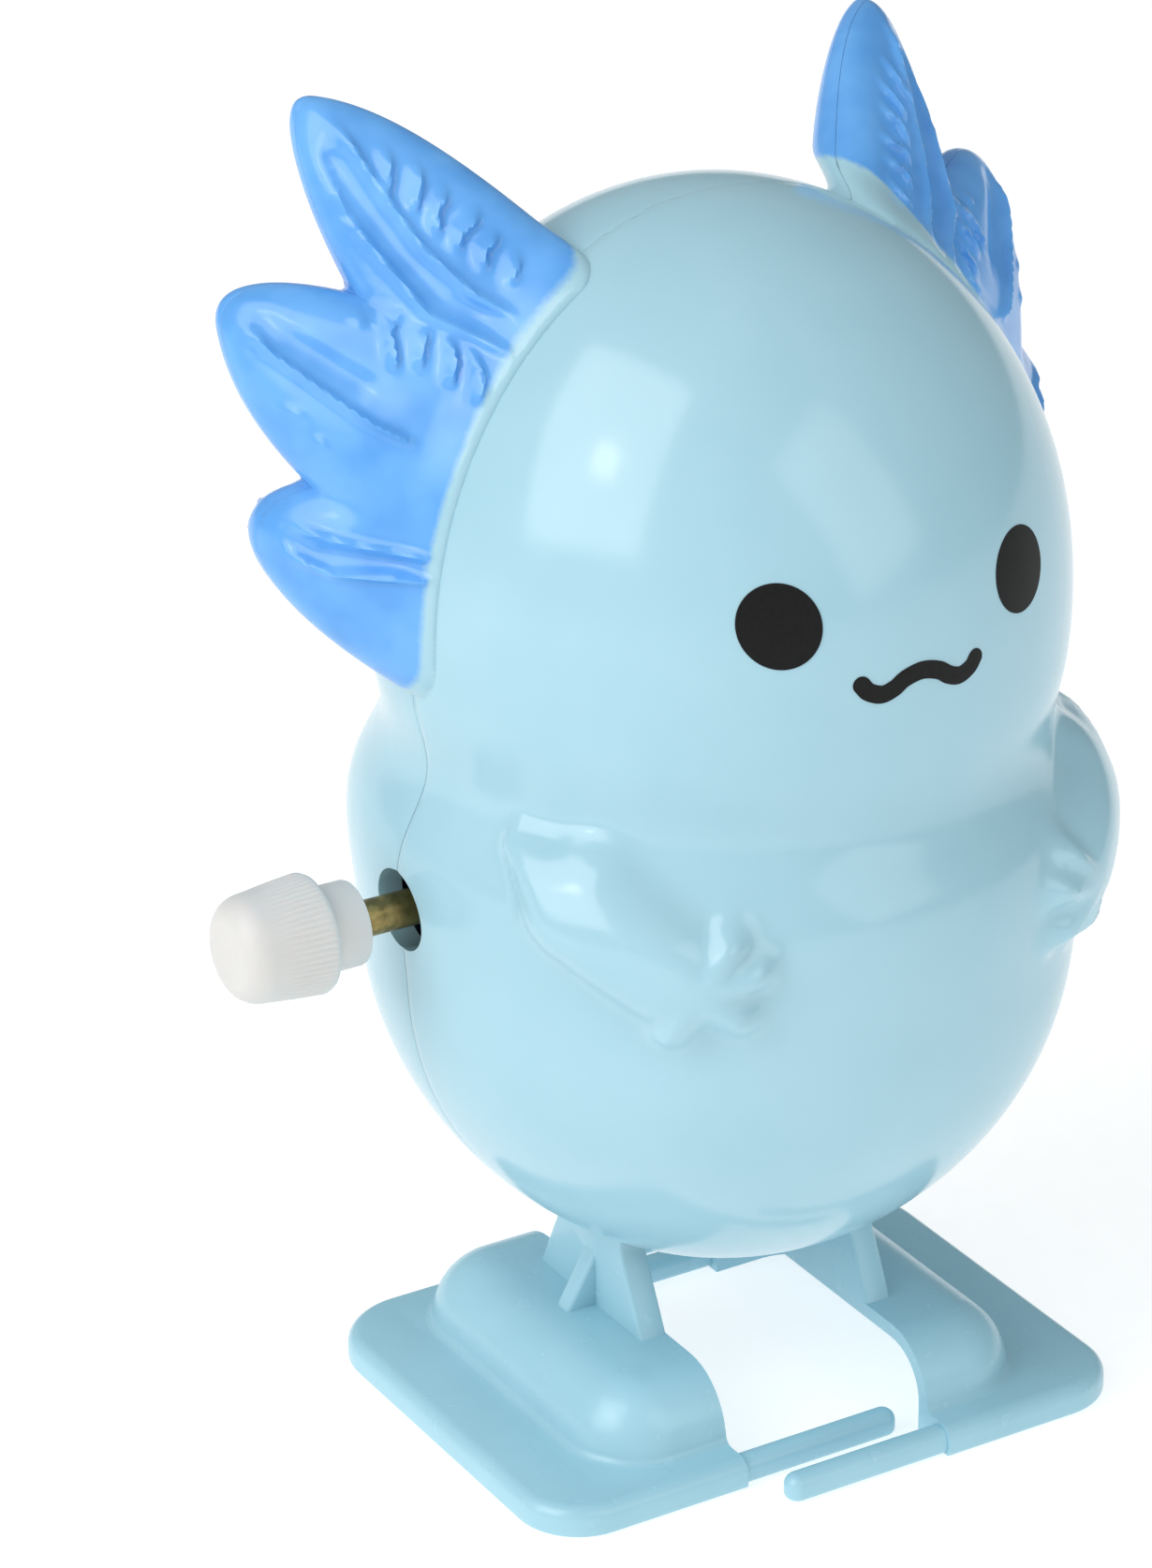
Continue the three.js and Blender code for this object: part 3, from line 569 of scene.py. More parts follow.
@dataclass(frozen=True)
class BodyForm:
    """The body's outside: a round head on an egg-shaped belly, creased at the waist, with a roll below."""

    head: Lobe = Lobe(59.0, 22.4, 25.5, 25.5, 2.0)
    belly: Lobe = Lobe(34.3, 23.2, 50.0, 23.0, 1.85)
    blend: float = 20.0
    crease_z: float = 49.5
    crease_depth: float = 0.75
    crease_spread: float = 3.2
    roll_z: float = 43.8
    roll_height: float = 1.25
    roll_above: float = 4.4
    roll_below: float = 6.0
    depth_ratio: float = 1.04
    bottom: float = 12.6
    wall: float = 1.7
    sweep_from: float = 50.0
    sweep_full: float = 55.0
    set_back_low: float = 0.5
    set_back_high: float = 2.0
    set_back_within: float = 2.0

    def half_width(self, z: np.ndarray, inset: float = 0.0) -> np.ndarray:
        """Half the body's width at each height.

        Args:
            z: The heights.
            inset: How far inside the outer surface.

        Returns:
            The half widths.
        """
        head = self.head.half_width_at(z, inset)
        belly = self.belly.half_width_at(z, inset)
        crease = self.crease_depth * np.exp(-(((z - self.crease_z) / self.crease_spread) ** 2))
        spread = np.where(z > self.roll_z, self.roll_above, self.roll_below)
        roll = self.roll_height * np.exp(-(((z - self.roll_z) / spread) ** 2))
        return (head**self.blend + belly**self.blend) ** (1 / self.blend) - crease + roll

    def at(self, degrees: np.ndarray, z: np.ndarray, raised: np.ndarray | float = 0.0) -> np.ndarray:
        """Points on the surface, at an angle from the front towards +X, raised outwards.

        Args:
            degrees: The angles.
            z: The heights.
            raised: How far out from the surface.

        Returns:
            One row of x, y, z for each point.
        """
        angle = np.radians(degrees)
        radius = self.half_width(z) + raised
        return np.stack([radius * np.sin(angle), -radius * self.depth_ratio * np.cos(angle), z], axis=-1)

    def outside_head(self, x: np.ndarray, z: np.ndarray) -> np.ndarray:
        """How far each spot lies outside the head's outline in front view.

        Args:
            x: Distances from the middle plane.
            z: Heights.

        Returns:
            The distances, 0 inside the outline.
        """
        rise = z - self.head.centre_z
        angle = np.arctan2(rise, np.abs(x))
        edge = 1 / np.hypot(np.cos(angle) / self.head.half_width, np.sin(angle) / self.head.up)
        return np.maximum(0, np.hypot(x, rise) - edge)

    def sweep(self, x: np.ndarray, z: np.ndarray) -> np.ndarray:
        """How far back the gill sheet, where the shells part, lies.

        Args:
            x: Distances from the middle plane.
            z: Heights.

        Returns:
            The sheet's y at each spot.
        """
        outside = self.outside_head(x, z)
        set_back = self.set_back_low + (self.set_back_high - self.set_back_low) * smoothstep(z, 72, 84)
        set_back = set_back * smoothstep(outside, 0, self.set_back_within)
        return (outside + set_back) * smoothstep(z, self.sweep_from, self.sweep_full)

    def heights(self, inset: float, rings: int) -> np.ndarray:
        """Heights from the flat bottom up to just under the crown, closer together at both ends.

        Args:
            inset: How far inside the outer surface.
            rings: How many heights there are.

        Returns:
            The heights.
        """
        top = self.head.centre_z + self.head.up - inset
        bottom = self.bottom + inset
        turns = np.linspace(0, np.pi, rings, endpoint=False)
        return (top + bottom) / 2 - (top - bottom) / 2 * np.cos(turns)

    def closed(
        self, name: str, inset: float, degrees: np.ndarray, rings: int, relief: Relief | None = None
    ) -> bpy.types.Object:
        """The whole body as one closed solid.

        Args:
            name: The object's name.
            inset: How far inside the outer surface.
            degrees: The angles of its columns.
            rings: How many rings there are.
            relief: Given angles and heights, how far the surface stands out.

        Returns:
            The solid.
        """
        z = self.heights(inset, rings)
        grid_z, grid_degrees = np.meshgrid(z, degrees, indexing="ij")
        raised = self.half_width(grid_z, inset) - self.half_width(grid_z)
        if relief:
            raised = raised + relief(grid_degrees, grid_z)
        rings_made = self.at(grid_degrees, grid_z, raised)
        count, around = rings_made.shape[:2]
        faces = tube(rings_made)[:-1]
        crown = [0, 0, self.head.centre_z + self.head.up - inset]
        last = (count - 1) * around
        faces += [[last + j, last + (j + 1) % around, count * around] for j in range(around)]
        return solid(name, np.vstack([rings_made.reshape(-1, 3), crown]), faces)


@dataclass(frozen=True)
class ArmRelief:
    """A moulded arm on the belly: a limb from the shoulder to a hand with four short fingers.

    Stations are (distance round from the front, height, radius), measured along the surface.
    """

    girth: float = 23.0
    limb: tuple[tuple[float, float, float], ...] = ((26.6, 48.3, 0.7), (21.6, 45.8, 3.5), (16.0, 41.9, 3.3))
    palm: tuple[float, float, float] = (14.6, 41.4, 2.2)
    fingers: tuple[tuple[float, float, float], ...] = (
        (12.6, 44.1, 1.05),
        (11.2, 42.4, 1.05),
        (12.0, 39.2, 1.15),
        (15.9, 38.2, 1.15),
    )
    crest: float = 2.1
    shoulder_width: float = 2.5
    melt: float = 0.45

    def height(self, degrees: np.ndarray, z: np.ndarray) -> np.ndarray:
        """How far the arm stands out of the belly.

        Args:
            degrees: Angles from the front, on either side.
            z: Heights.

        Returns:
            The height of the relief at each point.
        """
        across = np.radians(np.abs(degrees)) * self.girth
        limbs = list(zip(self.limb, self.limb[1:])) + [(self.palm, finger) for finger in self.fingers]
        distance = np.full(np.shape(z), 50.0)
        for (a0, z0, r0), (a1, z1, r1) in limbs:
            span = (a1 - a0) ** 2 + (z1 - z0) ** 2
            share = np.clip(((across - a0) * (a1 - a0) + (z - z0) * (z1 - z0)) / span, 0, 1)
            apart = np.hypot(across - a0 - share * (a1 - a0), z - z0 - share * (z1 - z0))
            apart = apart - r0 - share * (r1 - r0)
            mixed = np.clip(0.5 + (distance - apart) / (2 * self.melt), 0, 1)
            distance = distance * (1 - mixed) + apart * mixed - self.melt * mixed * (1 - mixed)
        depth = (np.hypot(distance, 0.45) - distance) / 2 - 0.02
        share = np.clip(depth / self.shoulder_width, 0, 1)
        return self.crest * np.sqrt(np.clip(1 - (1 - share) ** 2, 0, 1)) * smoothstep(-distance, -1.6, 0.2)


def bezier(start: Point, first: Point, second: Point, end: Point, steps: int) -> np.ndarray:
    """Points along a cubic curve, both ends included.

    Args:
        start: Where it starts.
        first: The control point that it leaves towards.
        second: The control point that it comes in from.
        end: Where it ends.
        steps: How many steps there are.

    Returns:
        One row for each point.
    """
    t = np.linspace(0, 1, steps + 1)[:, None]
    start, first, second, end = (np.array(p) for p in (start, first, second, end))
    return (1 - t) ** 3 * start + 3 * t * (1 - t) ** 2 * first + 3 * t**2 * (1 - t) * second + t**3 * end


@dataclass(frozen=True)
class GillLobe:
    """One leaf of a gill in front view: from its root out to its tip, and back to where it ends."""

    root: Point
    out: tuple[Point, Point]
    tip: Point
    back: tuple[Point, Point]
    end: Point

    def upper(self) -> np.ndarray:
        """The edge from the root to the tip."""
        return bezier(self.root, *self.out, self.tip, 44)

    def lower(self) -> np.ndarray:
        """The edge from the tip to the end."""
        return bezier(self.tip, *self.back, self.end, 44)


@dataclass(frozen=True)
class Ridge:
    """A raised line down a leaf, or a sunken one if its height is negative, that fades out at both ends."""

    path: tuple[Point, ...]
    height: float
    width: float

    def height_at(self, x: np.ndarray, z: np.ndarray) -> np.ndarray:
        """How far the line stands out of the leaf.

        Args:
            x: Distances from the middle plane.
            z: Heights.

        Returns:
            The height of the relief at each spot.
        """
        apart = np.full(x.shape, np.inf)
        travel = np.zeros(x.shape)
        done = 0.0
        for (ax, az), (bx, bz) in zip(self.path, self.path[1:]):
            length = math.hypot(bx - ax, bz - az)
            ux, uz = (bx - ax) / length, (bz - az) / length
            share = np.clip((x - ax) * ux + (z - az) * uz, 0, length)
            here = np.hypot(x - ax - share * ux, z - az - share * uz)
            travel = np.where(here < apart, done + share, travel)
            apart = np.minimum(apart, here)
            done += length
        ends = np.minimum(smoothstep(travel, -0.5, 0.6), 1 - smoothstep(travel, done - 0.6, done + 0.5))
        return self.height * ends * np.exp(-((apart / self.width) ** 2))


@dataclass(frozen=True)
class GillForm:
    """A gill of three leaves in one sheet, swept back from the head, with its sculpted veins."""

    lobes: tuple[GillLobe, ...] = (
        GillLobe(
            root=(8.6, 80.2),
            out=((12.6, 85.2), (16.4, 89.3)),
            tip=(20.4, 89.7),
            back=((23.2, 89.7), (22.9, 82.5)),
            end=(20.6, 74.2),
        ),
        GillLobe(
            root=(17.4, 77.6),
            out=((22.0, 79.8), (28.9, 80.9)),
            tip=(28.95, 76.2),
            back=((29.1, 73.2), (28.2, 69.4)),
            end=(22.4, 63.4),
        ),
        GillLobe(
            root=(21.4, 68.2),
            out=((26.0, 69.2), (31.0, 66.6)),
            tip=(28.4, 61.6),
            back=((27.0, 58.9), (24.8, 56.8)),
            end=(21.2, 54.2),
        ),
    )
    core: tuple[Point, ...] = ((17.6, 59.0), (17.0, 66.0), (15.0, 71.0))
    # How thick the sheet is in front of the parting surface and behind it, at its root and at its tips.
    front_half: Point = (2.8, 2.0)
    back_half: Point = (5.0, 3.0)
    thins_over: float = 13.0
    rim: float = 2.3
    relief_scale: float = 1.4
    reliefs: tuple[Ridge, ...] = (
        Ridge(((20.5, 88.4), (19.6, 85.3), (18.5, 82.3), (16.8, 80.0), (15.6, 79.2)), 0.5, 0.34),
        Ridge(((22.2, 86.6), (21.5, 83.5), (20.9, 82.1), (19.5, 78.9), (16.6, 77.4)), 0.5, 0.34),
        Ridge(((21.3, 87.2), (20.5, 84.4), (19.7, 82.2), (18.2, 79.4), (16.0, 78.2)), -0.4, 0.75),
        Ridge(((19.3, 85.3), (18.5, 87.2)), 0.5, 0.3),
        Ridge(((18.3, 84.3), (17.2, 86.4)), 0.55, 0.3),
        Ridge(((17.5, 83.2), (17.2, 84.4), (16.3, 85.3)), 0.55, 0.3),
        Ridge(((16.8, 82.4), (16.4, 83.2), (15.1, 84.1)), 0.55, 0.3),
        Ridge(((15.8, 81.4), (15.6, 82.3), (14.5, 83.1)), 0.5, 0.3),
        Ridge(((14.9, 80.6), (13.8, 82.0)), 0.45, 0.28),
        Ridge(((22.0, 81.6), (22.7, 80.8), (23.1, 79.5)), 0.55, 0.26),
        Ridge(((21.4, 79.9), (22.1, 79.2), (22.8, 78.2)), 0.5, 0.26),
        Ridge(((20.8, 78.9), (21.6, 77.9), (22.0, 76.0)), 0.55, 0.26),
        Ridge(((19.8, 78.0), (20.3, 77.5), (20.8, 76.1)), 0.5, 0.26),
        Ridge(((18.9, 77.6), (19.0, 76.8), (19.6, 75.3)), 0.55, 0.26),
        Ridge(((18.0, 77.1), (18.1, 76.0), (18.7, 74.6)), 0.5, 0.26),
        Ridge(((28.5, 78.0), (27.5, 76.2), (25.4, 74.2), (23.8, 72.8), (22.2, 71.9)), 0.6, 0.27),
        Ridge(((28.0, 79.0), (26.6, 77.2), (24.6, 75.6), (23.0, 74.4)), -0.35, 0.8),
        Ridge(((28.7, 75.0), (28.6, 74.7)), 0.35, 0.3),
        Ridge(((27.2, 73.0), (26.9, 72.7)), 0.35, 0.3),
        Ridge(((26.3, 71.4), (26.1, 71.0)), 0.35, 0.3),
        Ridge(((26.8, 68.4), (26.6, 67.8)), 0.4, 0.3),
        Ridge(((27.8, 67.7), (28.3, 66.6), (27.5, 65.8), (25.5, 65.4), (22.4, 65.0)), 0.5, 0.27),
        Ridge(((29.0, 65.8), (28.4, 64.1), (26.8, 63.4), (22.6, 63.6)), 0.55, 0.3),
        Ridge(((28.2, 65.4), (27.2, 64.6), (22.6, 64.3)), -0.4, 0.5),
    )

    def outline(self) -> np.ndarray:
        """The sheet's outline in front view: the three leaves' outer edges, closed inside the head.

        Returns:
            One row of x, z for each point.
        """
        path = [*self.lobes[0].upper(), *self.lobes[0].lower()[1:]]
        for lobe in self.lobes[1:]:
            path = self.cross(path, [*lobe.upper(), *lobe.lower()[1:]])
        return np.array([*path, *self.core])

    @staticmethod
    def cross(first: Sequence[np.ndarray], second: Sequence[np.ndarray]) -> list[np.ndarray]:
        """Follows one edge to where it last meets another, then that other one.

        Args:
            first: The edge that comes in.
            second: The edge that goes out.

        Returns:
            The joined edge.
        """
        for i in range(len(first) - 2, 0, -1):
            for j in range(len(second) - 1):
                p, r = first[i], first[i + 1] - first[i]
                q, s = second[j], second[j + 1] - second[j]
                area = r[0] * s[1] - r[1] * s[0]
                if abs(area) < 1e-12:
                    continue
                t = ((q - p)[0] * s[1] - (q - p)[1] * s[0]) / area
                u = ((q - p)[0] * r[1] - (q - p)[1] * r[0]) / area
                if 0 <= t <= 1 and 0 <= u <= 1:
                    return [*first[: i + 1], p + t * r, *second[j + 1 :]]
        raise ValueError("two leaves of the gill do not meet")

    def relief(self, x: np.ndarray, z: np.ndarray) -> np.ndarray:
        """The sculpted height over the plain leaf at each point."""
        return sum(ridge.height_at(x, z) for ridge in self.reliefs)


class Gill:
    """One gill as a closed sheet with round edges."""

    def __init__(self, form: GillForm, body: BodyForm) -> None:
        """Keeps the forms it is built from.

        Args:
            form: The gill's shape.
            body: The body that it grows out of.
        """
        self.form = form
        self.body = body

    def spots(self, spacing: float) -> tuple[np.ndarray, np.ndarray, int]:
        """Points inside the outline: rings that follow the rim, then an even field.

        Args:
            spacing: The distance between the field's points.

        Returns:
            The points, their distance from the rim, and how many of them are on the rim.
        """
        corners = self.form.outline()
        closed = np.vstack([corners, corners[:1]])
        lengths = np.r_[0, np.cumsum(np.hypot(*np.diff(closed, axis=0).T))]
        steps = np.linspace(0, lengths[-1], int(lengths[-1] / 0.3), endpoint=False)
        rim = np.stack([np.interp(steps, lengths, closed[:, 0]), np.interp(steps, lengths, closed[:, 1])], 1)
        tangent = np.roll(rim, -1, 0) - np.roll(rim, 1, 0)
        tangent /= np.linalg.norm(tangent, axis=1)[:, None]
        inward = np.stack([tangent[:, 1], -tangent[:, 0]], 1)
        candidates = [rim + inward * depth for depth in (0.03, 0.12, 0.28, 0.52, 0.85)]
        low, high = rim.min(0), rim.max(0)
        field = []
        for i, z in enumerate(np.arange(low[1], high[1], spacing * 0.866)):
            field += [(x + (i % 2) * spacing / 2, z) for x in np.arange(low[0], high[0], spacing)]
        candidates.append(np.array(field))
        found, depths = [rim], [np.zeros(len(rim))]
        for points, least in zip(candidates, (0.028, 0.11, 0.26, 0.49, 0.8, 1.05)):
            depth = self.depth(points, rim)
            kept = depth >= least
            found.append(points[kept])
            depths.append(depth[kept])
        return np.vstack(found), np.concatenate(depths), len(rim)

    @staticmethod
    def depth(points: np.ndarray, rim: np.ndarray) -> np.ndarray:
        """How far inside the rim each point is.

        Args:
            points: One row of x, z for each point.
            rim: The rim's own points, in order.

        Returns:
            The distances, negative outside the rim.
        """
        ends = np.roll(rim, -1, 0)
        nearest = np.full(len(points), np.inf)
        inside = np.zeros(len(points), bool)
        for (ax, az), (bx, bz) in zip(rim, ends):
            length = (bx - ax) ** 2 + (bz - az) ** 2
            along = (points[:, 0] - ax) * (bx - ax) + (points[:, 1] - az) * (bz - az)
            share = np.clip(along / length, 0, 1)
            apart = np.hypot(points[:, 0] - ax - share * (bx - ax), points[:, 1] - az - share * (bz - az))
            nearest = np.minimum(nearest, apart)
            spans = (az > points[:, 1]) != (bz > points[:, 1])
            with np.errstate(divide="ignore", invalid="ignore"):
                inside ^= spans & (points[:, 0] < ax + (points[:, 1] - az) * (bx - ax) / (bz - az))
        return np.where(inside, nearest, -nearest)

    def build(self, side: Side) -> bpy.types.Object:
        """Builds the gill's closed solid.

        Args:
            side: Which side of the head it is on.

        Returns:
            The solid.
        """
        points, depth, on_rim = self.spots(0.24)
        edges = [(i, (i + 1) % on_rim) for i in range(on_rim)]
        flat, _, faces, origins, _, _ = delaunay_2d_cdt([Vector(p) for p in points], edges, [], 1, 1e-7)
        source = np.array([origin[0] if origin else -1 for origin in origins])
        x, z = np.array([p[0] for p in flat]), np.array([p[1] for p in flat])
        depth = depth[source]
        outside = self.body.outside_head(x, z)
        share = np.clip(depth / self.form.rim, 0, 1)
        rounding = np.sqrt(np.clip(1 - (1 - share) ** 2, 0, 1))
        taper = smoothstep(outside, 0, self.form.thins_over)
        relief = self.form.relief(x, z) * smoothstep(depth, 0.35, 1.1) * smoothstep(outside, -0.1, 0.6)
        root, tip = self.form.front_half
        ahead = (root + (tip - root) * taper) * rounding + relief * self.form.relief_scale
        root, tip = self.form.back_half
        behind_by = (root + (tip - root) * taper) * rounding + relief * self.form.relief_scale
        back = self.body.sweep(x, z)
        rim = np.isin(source, np.arange(on_rim))
        behind = np.where(rim, np.arange(len(x)), len(x) + np.cumsum(~rim) - 1)
        front = np.column_stack([side.value * x, back - ahead, z])
        rear = np.column_stack([side.value * x, back + behind_by, z])[~rim]
        outward = 1 if side is Side.RIGHT else -1
        skin = [list(face)[::outward] for face in faces]
        skin += [[int(behind[i]) for i in face][::-outward] for face in faces]
        return solid("gill", np.vstack([front, rear]), skin)


class Shells:
    """The front and back shells, with the gills, the arms, the winding hole and the leg slots."""

    seam_gap: float = 0.06
    hole_radius: float = 2.75
    hole_z: float = 40.6
    slot_x: Point = (6.25, 9.25)
    slot_half: float = 7.1

    def __init__(self, form: BodyForm, arms: ArmRelief, gill: Gill, finish: PaintedShell) -> None:
        """Keeps the forms and the finish.

        Args:
            form: The body's shape.
            arms: The arms' relief.
            gill: Builds each gill.
            finish: The shells' plastic and paint.
        """
        self.form = form
        self.arms = arms
        self.gill = gill
        self.finish = finish

    def relief(self, degrees: np.ndarray, z: np.ndarray) -> np.ndarray:
        """The arms on the front half, and the soft edge where the shells meet.

        Args:
            degrees: Angles from the front.
            z: Heights.

        Returns:
            How far the surface stands out of the plain body.
        """
        front = np.abs(degrees) < 88
        arms = np.where(front, self.arms.height(degrees, z), 0)
        beside_seam = np.abs(self.form.half_width(z) * np.cos(np.radians(degrees)))
        return arms - 0.06 * np.exp(-((beside_seam / 0.3) ** 2))

    def columns(self) -> np.ndarray:
        """The angles of the outer surface's columns: close together over the arms and at the seam.

        Returns:
            The angles in degrees, from the back round to the back.
        """
        seam = [87.6, 88.6, 89.2, 89.6, 89.85, 90, 90.15, 90.4, 90.8, 91.4, 92.4]
        front = [*np.arange(0, 22, 1.1), *np.arange(22, 74, 0.85), *np.arange(74, 87, 1.3)]
        half = np.array([*front, *seam, *np.arange(94, 180, 1.7)])
        return np.concatenate([-half[:0:-1], half])

    def in_front(self, offset: float) -> bpy.types.Object:
        """A cutter for everything in front of the parting surface.

        Args:
            offset: How far back the surface is moved.

        Returns:
            The cutter.
        """
        xs, zs = np.linspace(-42, 42, 121), np.linspace(0, 100, 141)
        grid_x, grid_z = np.meshgrid(xs, zs, indexing="ij")
        rear = np.stack([grid_x, self.form.sweep(grid_x, grid_z) + offset, grid_z], -1).reshape(-1, 3)
        near = np.stack([grid_x, np.full(grid_x.shape, -60.0), grid_z], -1).reshape(-1, 3)
        rows, count = len(zs), len(rear)
        faces = []
        for i in range(len(xs) - 1):
            for j in range(rows - 1):
                a, b, c, d = i * rows + j, (i + 1) * rows + j, (i + 1) * rows + j + 1, i * rows + j + 1
                faces += [[d, c, b, a], [count + a, count + b, count + c, count + d]]
        border = [i * rows for i in range(len(xs))]
        border += [(len(xs) - 1) * rows + j for j in range(1, rows)]
        border += [i * rows + rows - 1 for i in range(len(xs) - 2, -1, -1)]
        border += [j for j in range(rows - 2, 0, -1)]
        for a, b in zip(border, border[1:] + border[:1]):
            faces.append([a, b, count + b, count + a])
        return solid("parting", np.vstack([rear, near]), faces)

    def spray(self, piece: bpy.types.Object) -> None:
        """Marks how much paint each vertex took: all of it on the gills, none on the head.

        Args:
            piece: A shell, in millimetres.
        """
        spots = np.empty(len(piece.data.vertices) * 3)
        piece.data.vertices.foreach_get("co", spots)
        x, y, z = spots.reshape(-1, 3).T
        form = self.form
        head = form.head
        across = np.hypot(x, y / form.depth_ratio)
        low = across - form.half_width(np.clip(z, 0, 76))
        reach = np.hypot(across / head.half_width, (z - head.centre_z) / head.up)
        high = (reach - 1) * head.half_width
        clear = low + (high - low) * smoothstep(z, 70, 75)
        bare = 0.55 + 1.5 * smoothstep(z, 77, 80) * (1 - smoothstep(x, 12, 16)) * (x > 0)
        sprayed = smoothstep(clear - bare, -0.25, 0.35) * smoothstep(z, 53.0, 54.2)
        mask = piece.data.attributes.new("paint", "FLOAT", "POINT")
        mask.data.foreach_set("value", sprayed.astype(np.float32))

    def build(self) -> None:
        """Builds both shells and puts them on the case."""
        form = self.form
        whole = form.closed("front_shell_moulding", 0, self.columns(), 250, self.relief)
        for side in Side:
            combine(whole, Cut.JOIN, self.gill.build(side))
        combine(whole, Cut.REMOVE, form.closed("hollow", form.wall, np.arange(-180, 180, 4.0), 60))
        hole = turned("hole", [(-30, self.hole_radius), (-15, self.hole_radius)], 72)
        combine(whole, Cut.REMOVE, shifted(hole, z=self.hole_z))
        for side in Side:
            near, far = sorted(side.value * x for x in self.slot_x)
            half = self.slot_half
            slot = Outline(((near, -half, 0.9), (far, -half, 0.9), (far, half, 0.9), (near, half, 0.9)))
            combine(whole, Cut.REMOVE, slot.stack("slot", [(5, 0), (22, 0)]))
        rear = whole.copy()
        rear.data = whole.data.copy()
        rear.name = "back_shell_moulding"
        bpy.context.scene.collection.objects.link(rear)
        combine(whole, Cut.KEEP, self.in_front(-self.seam_gap / 2))
        combine(rear, Cut.REMOVE, self.in_front(self.seam_gap / 2))
        material = self.finish.material()
        for piece, node in ((whole, "front_shell"), (rear, "back_shell")):
            self.spray(piece)
            place(piece, "case", material, node, sharp=50)


@dataclass(frozen=True)
class FaceForm:
    """The printed face: two round eyes and a wavy mouth, measured along the surface."""

    eye_x: float = 8.75
    eye_z: float = 64.2
    eye_radius: float = 2.62
    mouth_z: float = 59.8
    mouth_line: tuple[Point, ...] = (
        (-4.15, 0.3), (-3.7, -0.2), (-2.85, -0.5), (-2.0, -0.25), (-1.2, 0.25), (0.0, 0.52),
        (1.2, 0.25), (2.0, -0.25), (2.85, -0.5), (3.7, -0.2), (4.15, 0.3),
    )
    stroke: float = 1.14
    height: float = 0.05
    bite: float = 0.03


class Face:
    """Thin printed pieces that follow the head."""

    def __init__(self, form: FaceForm, body: BodyForm, finish: PrintInk) -> None:
        """Keeps the forms and the finish.

        Args:
            form: The face's shape.
            body: The body that it is printed on.
            finish: The ink.
        """
        self.form = form
        self.body = body
        self.finish = finish

    def film(self, name: str, rings: np.ndarray) -> bpy.types.Object:
        """A thin closed film on the head from rings of (x, z), the outermost last.

        Args:
            name: The object's name.
            rings: An array of shape (rings, points, 2), anticlockwise seen from the front.

        Returns:
            The film.
        """
        x, z = rings[..., 0], rings[..., 1]
        degrees = np.degrees(np.arcsin(x / self.body.half_width(z)))
        count, around = x.shape
        outer = self.body.at(degrees, z, self.form.height)
        inner = self.body.at(degrees, z, -self.form.bite)
        faces = []
        for i in range(count - 1):
            for j in range(around):
                a, b = i * around + j, i * around + (j + 1) % around
                faces.append([a, a + around, b + around, b])
                faces.append([count * around + p for p in (b, b + around, a + around, a)])
        last, total = (count - 1) * around, count * around
        for j in range(around):
            k = (j + 1) % around
            faces.append([last + j, total + last + j, total + last + k, last + k])
        faces += [list(range(around)), [total + j for j in range(around)][::-1]]
        return solid(name, np.vstack([outer.reshape(-1, 3), inner.reshape(-1, 3)]), faces)

    def build(self) -> None:
        """Builds the eyes and the mouth on the front shell."""
        ink = self.finish.material()
        angles = np.linspace(0, 2 * np.pi, 72, endpoint=False)
        lean = math.cos(math.asin(self.form.eye_x / float(self.body.half_width(np.array(self.form.eye_z)))))
        for side in Side:
            rings = []
            for radius in np.linspace(0.05, 1, 14) * self.form.eye_radius:
                x = side.value * self.form.eye_x + radius * lean * np.cos(angles)
                rings.append(np.stack([x, self.form.eye_z + radius * np.sin(angles)], -1))
            place(self.film(f"{side.name.lower()}_eye_print", np.array(rings)), "case", ink, sharp=60)
        place(self.mouth(), "case", ink, sharp=60)

    def mouth(self) -> bpy.types.Object:
        """The mouth: one stroke of even width with round ends along a wavy line.

        Returns:
            The film.
        """
        points = np.array(self.form.mouth_line)
        steps = np.linspace(0, len(points) - 1, 90)
        heights = self.form.mouth_z + self.spline(points[:, 1], steps)
        line = np.stack([self.spline(points[:, 0], steps), heights], -1)
        tangent = np.gradient(line, axis=0)
        tangent /= np.linalg.norm(tangent, axis=1)[:, None]
        normal = np.stack([-tangent[:, 1], tangent[:, 0]], -1)
        half = self.form.stroke / 2
        rings = []
        for share in (0.02, 0.35, 0.7, 1.0):
            size = half * share
            turns = np.linspace(np.pi / 2, -np.pi / 2, 14)[1:-1]
            lower, upper = line - normal * size, line + normal * size
            right, left = [], []
            for t in turns[::-1]:
                right.append(line[-1] + size * (math.cos(t) * tangent[-1] + math.sin(t) * normal[-1]))
            for t in turns:
                left.append(line[0] + size * (-math.cos(t) * tangent[0] + math.sin(t) * normal[0]))
            rings.append(np.vstack([lower, right, upper[::-1], left]))
        return self.film("mouth_print", np.array(rings))

    @staticmethod
    def spline(values: np.ndarray, steps: np.ndarray) -> np.ndarray:
        """A smooth curve through values.

        Args:
            values: The values, evenly spaced.
            steps: The fractional positions to read.

        Returns:
            The curve's value at each position.
        """
        padded = np.concatenate([[2 * values[0] - values[1]], values, [2 * values[-1] - values[-2]]])
        i = np.clip(steps.astype(int), 0, len(values) - 2)
        t = steps - i
        a, b, c, d = (padded[i + k] for k in range(4))
        squared, cubed = 2 * a - 5 * b + 4 * c - d, 3 * b - a - 3 * c + d
        return 0.5 * (2 * b + (c - a) * t + squared * t**2 + cubed * t**3)


# ---- Winding ----


@dataclass(frozen=True)
class KnobForm:
    """The nylon knob: a plain collar, then a tapered grip with fine splines and a well rounded end."""

    axis_z: float = 40.6
    mouth_x: float = -27.1
    shoulder_x: float = -29.75
    end_x: float = -36.1
    collar_radius: float = 2.8
    grip_radius: float = 3.9
    end_radius: float = 3.55
    end_round: float = 1.9
    splines: int = 60
    spline_height: float = 0.05
    bore: float = 1.28
    bore_depth: float = 7.0


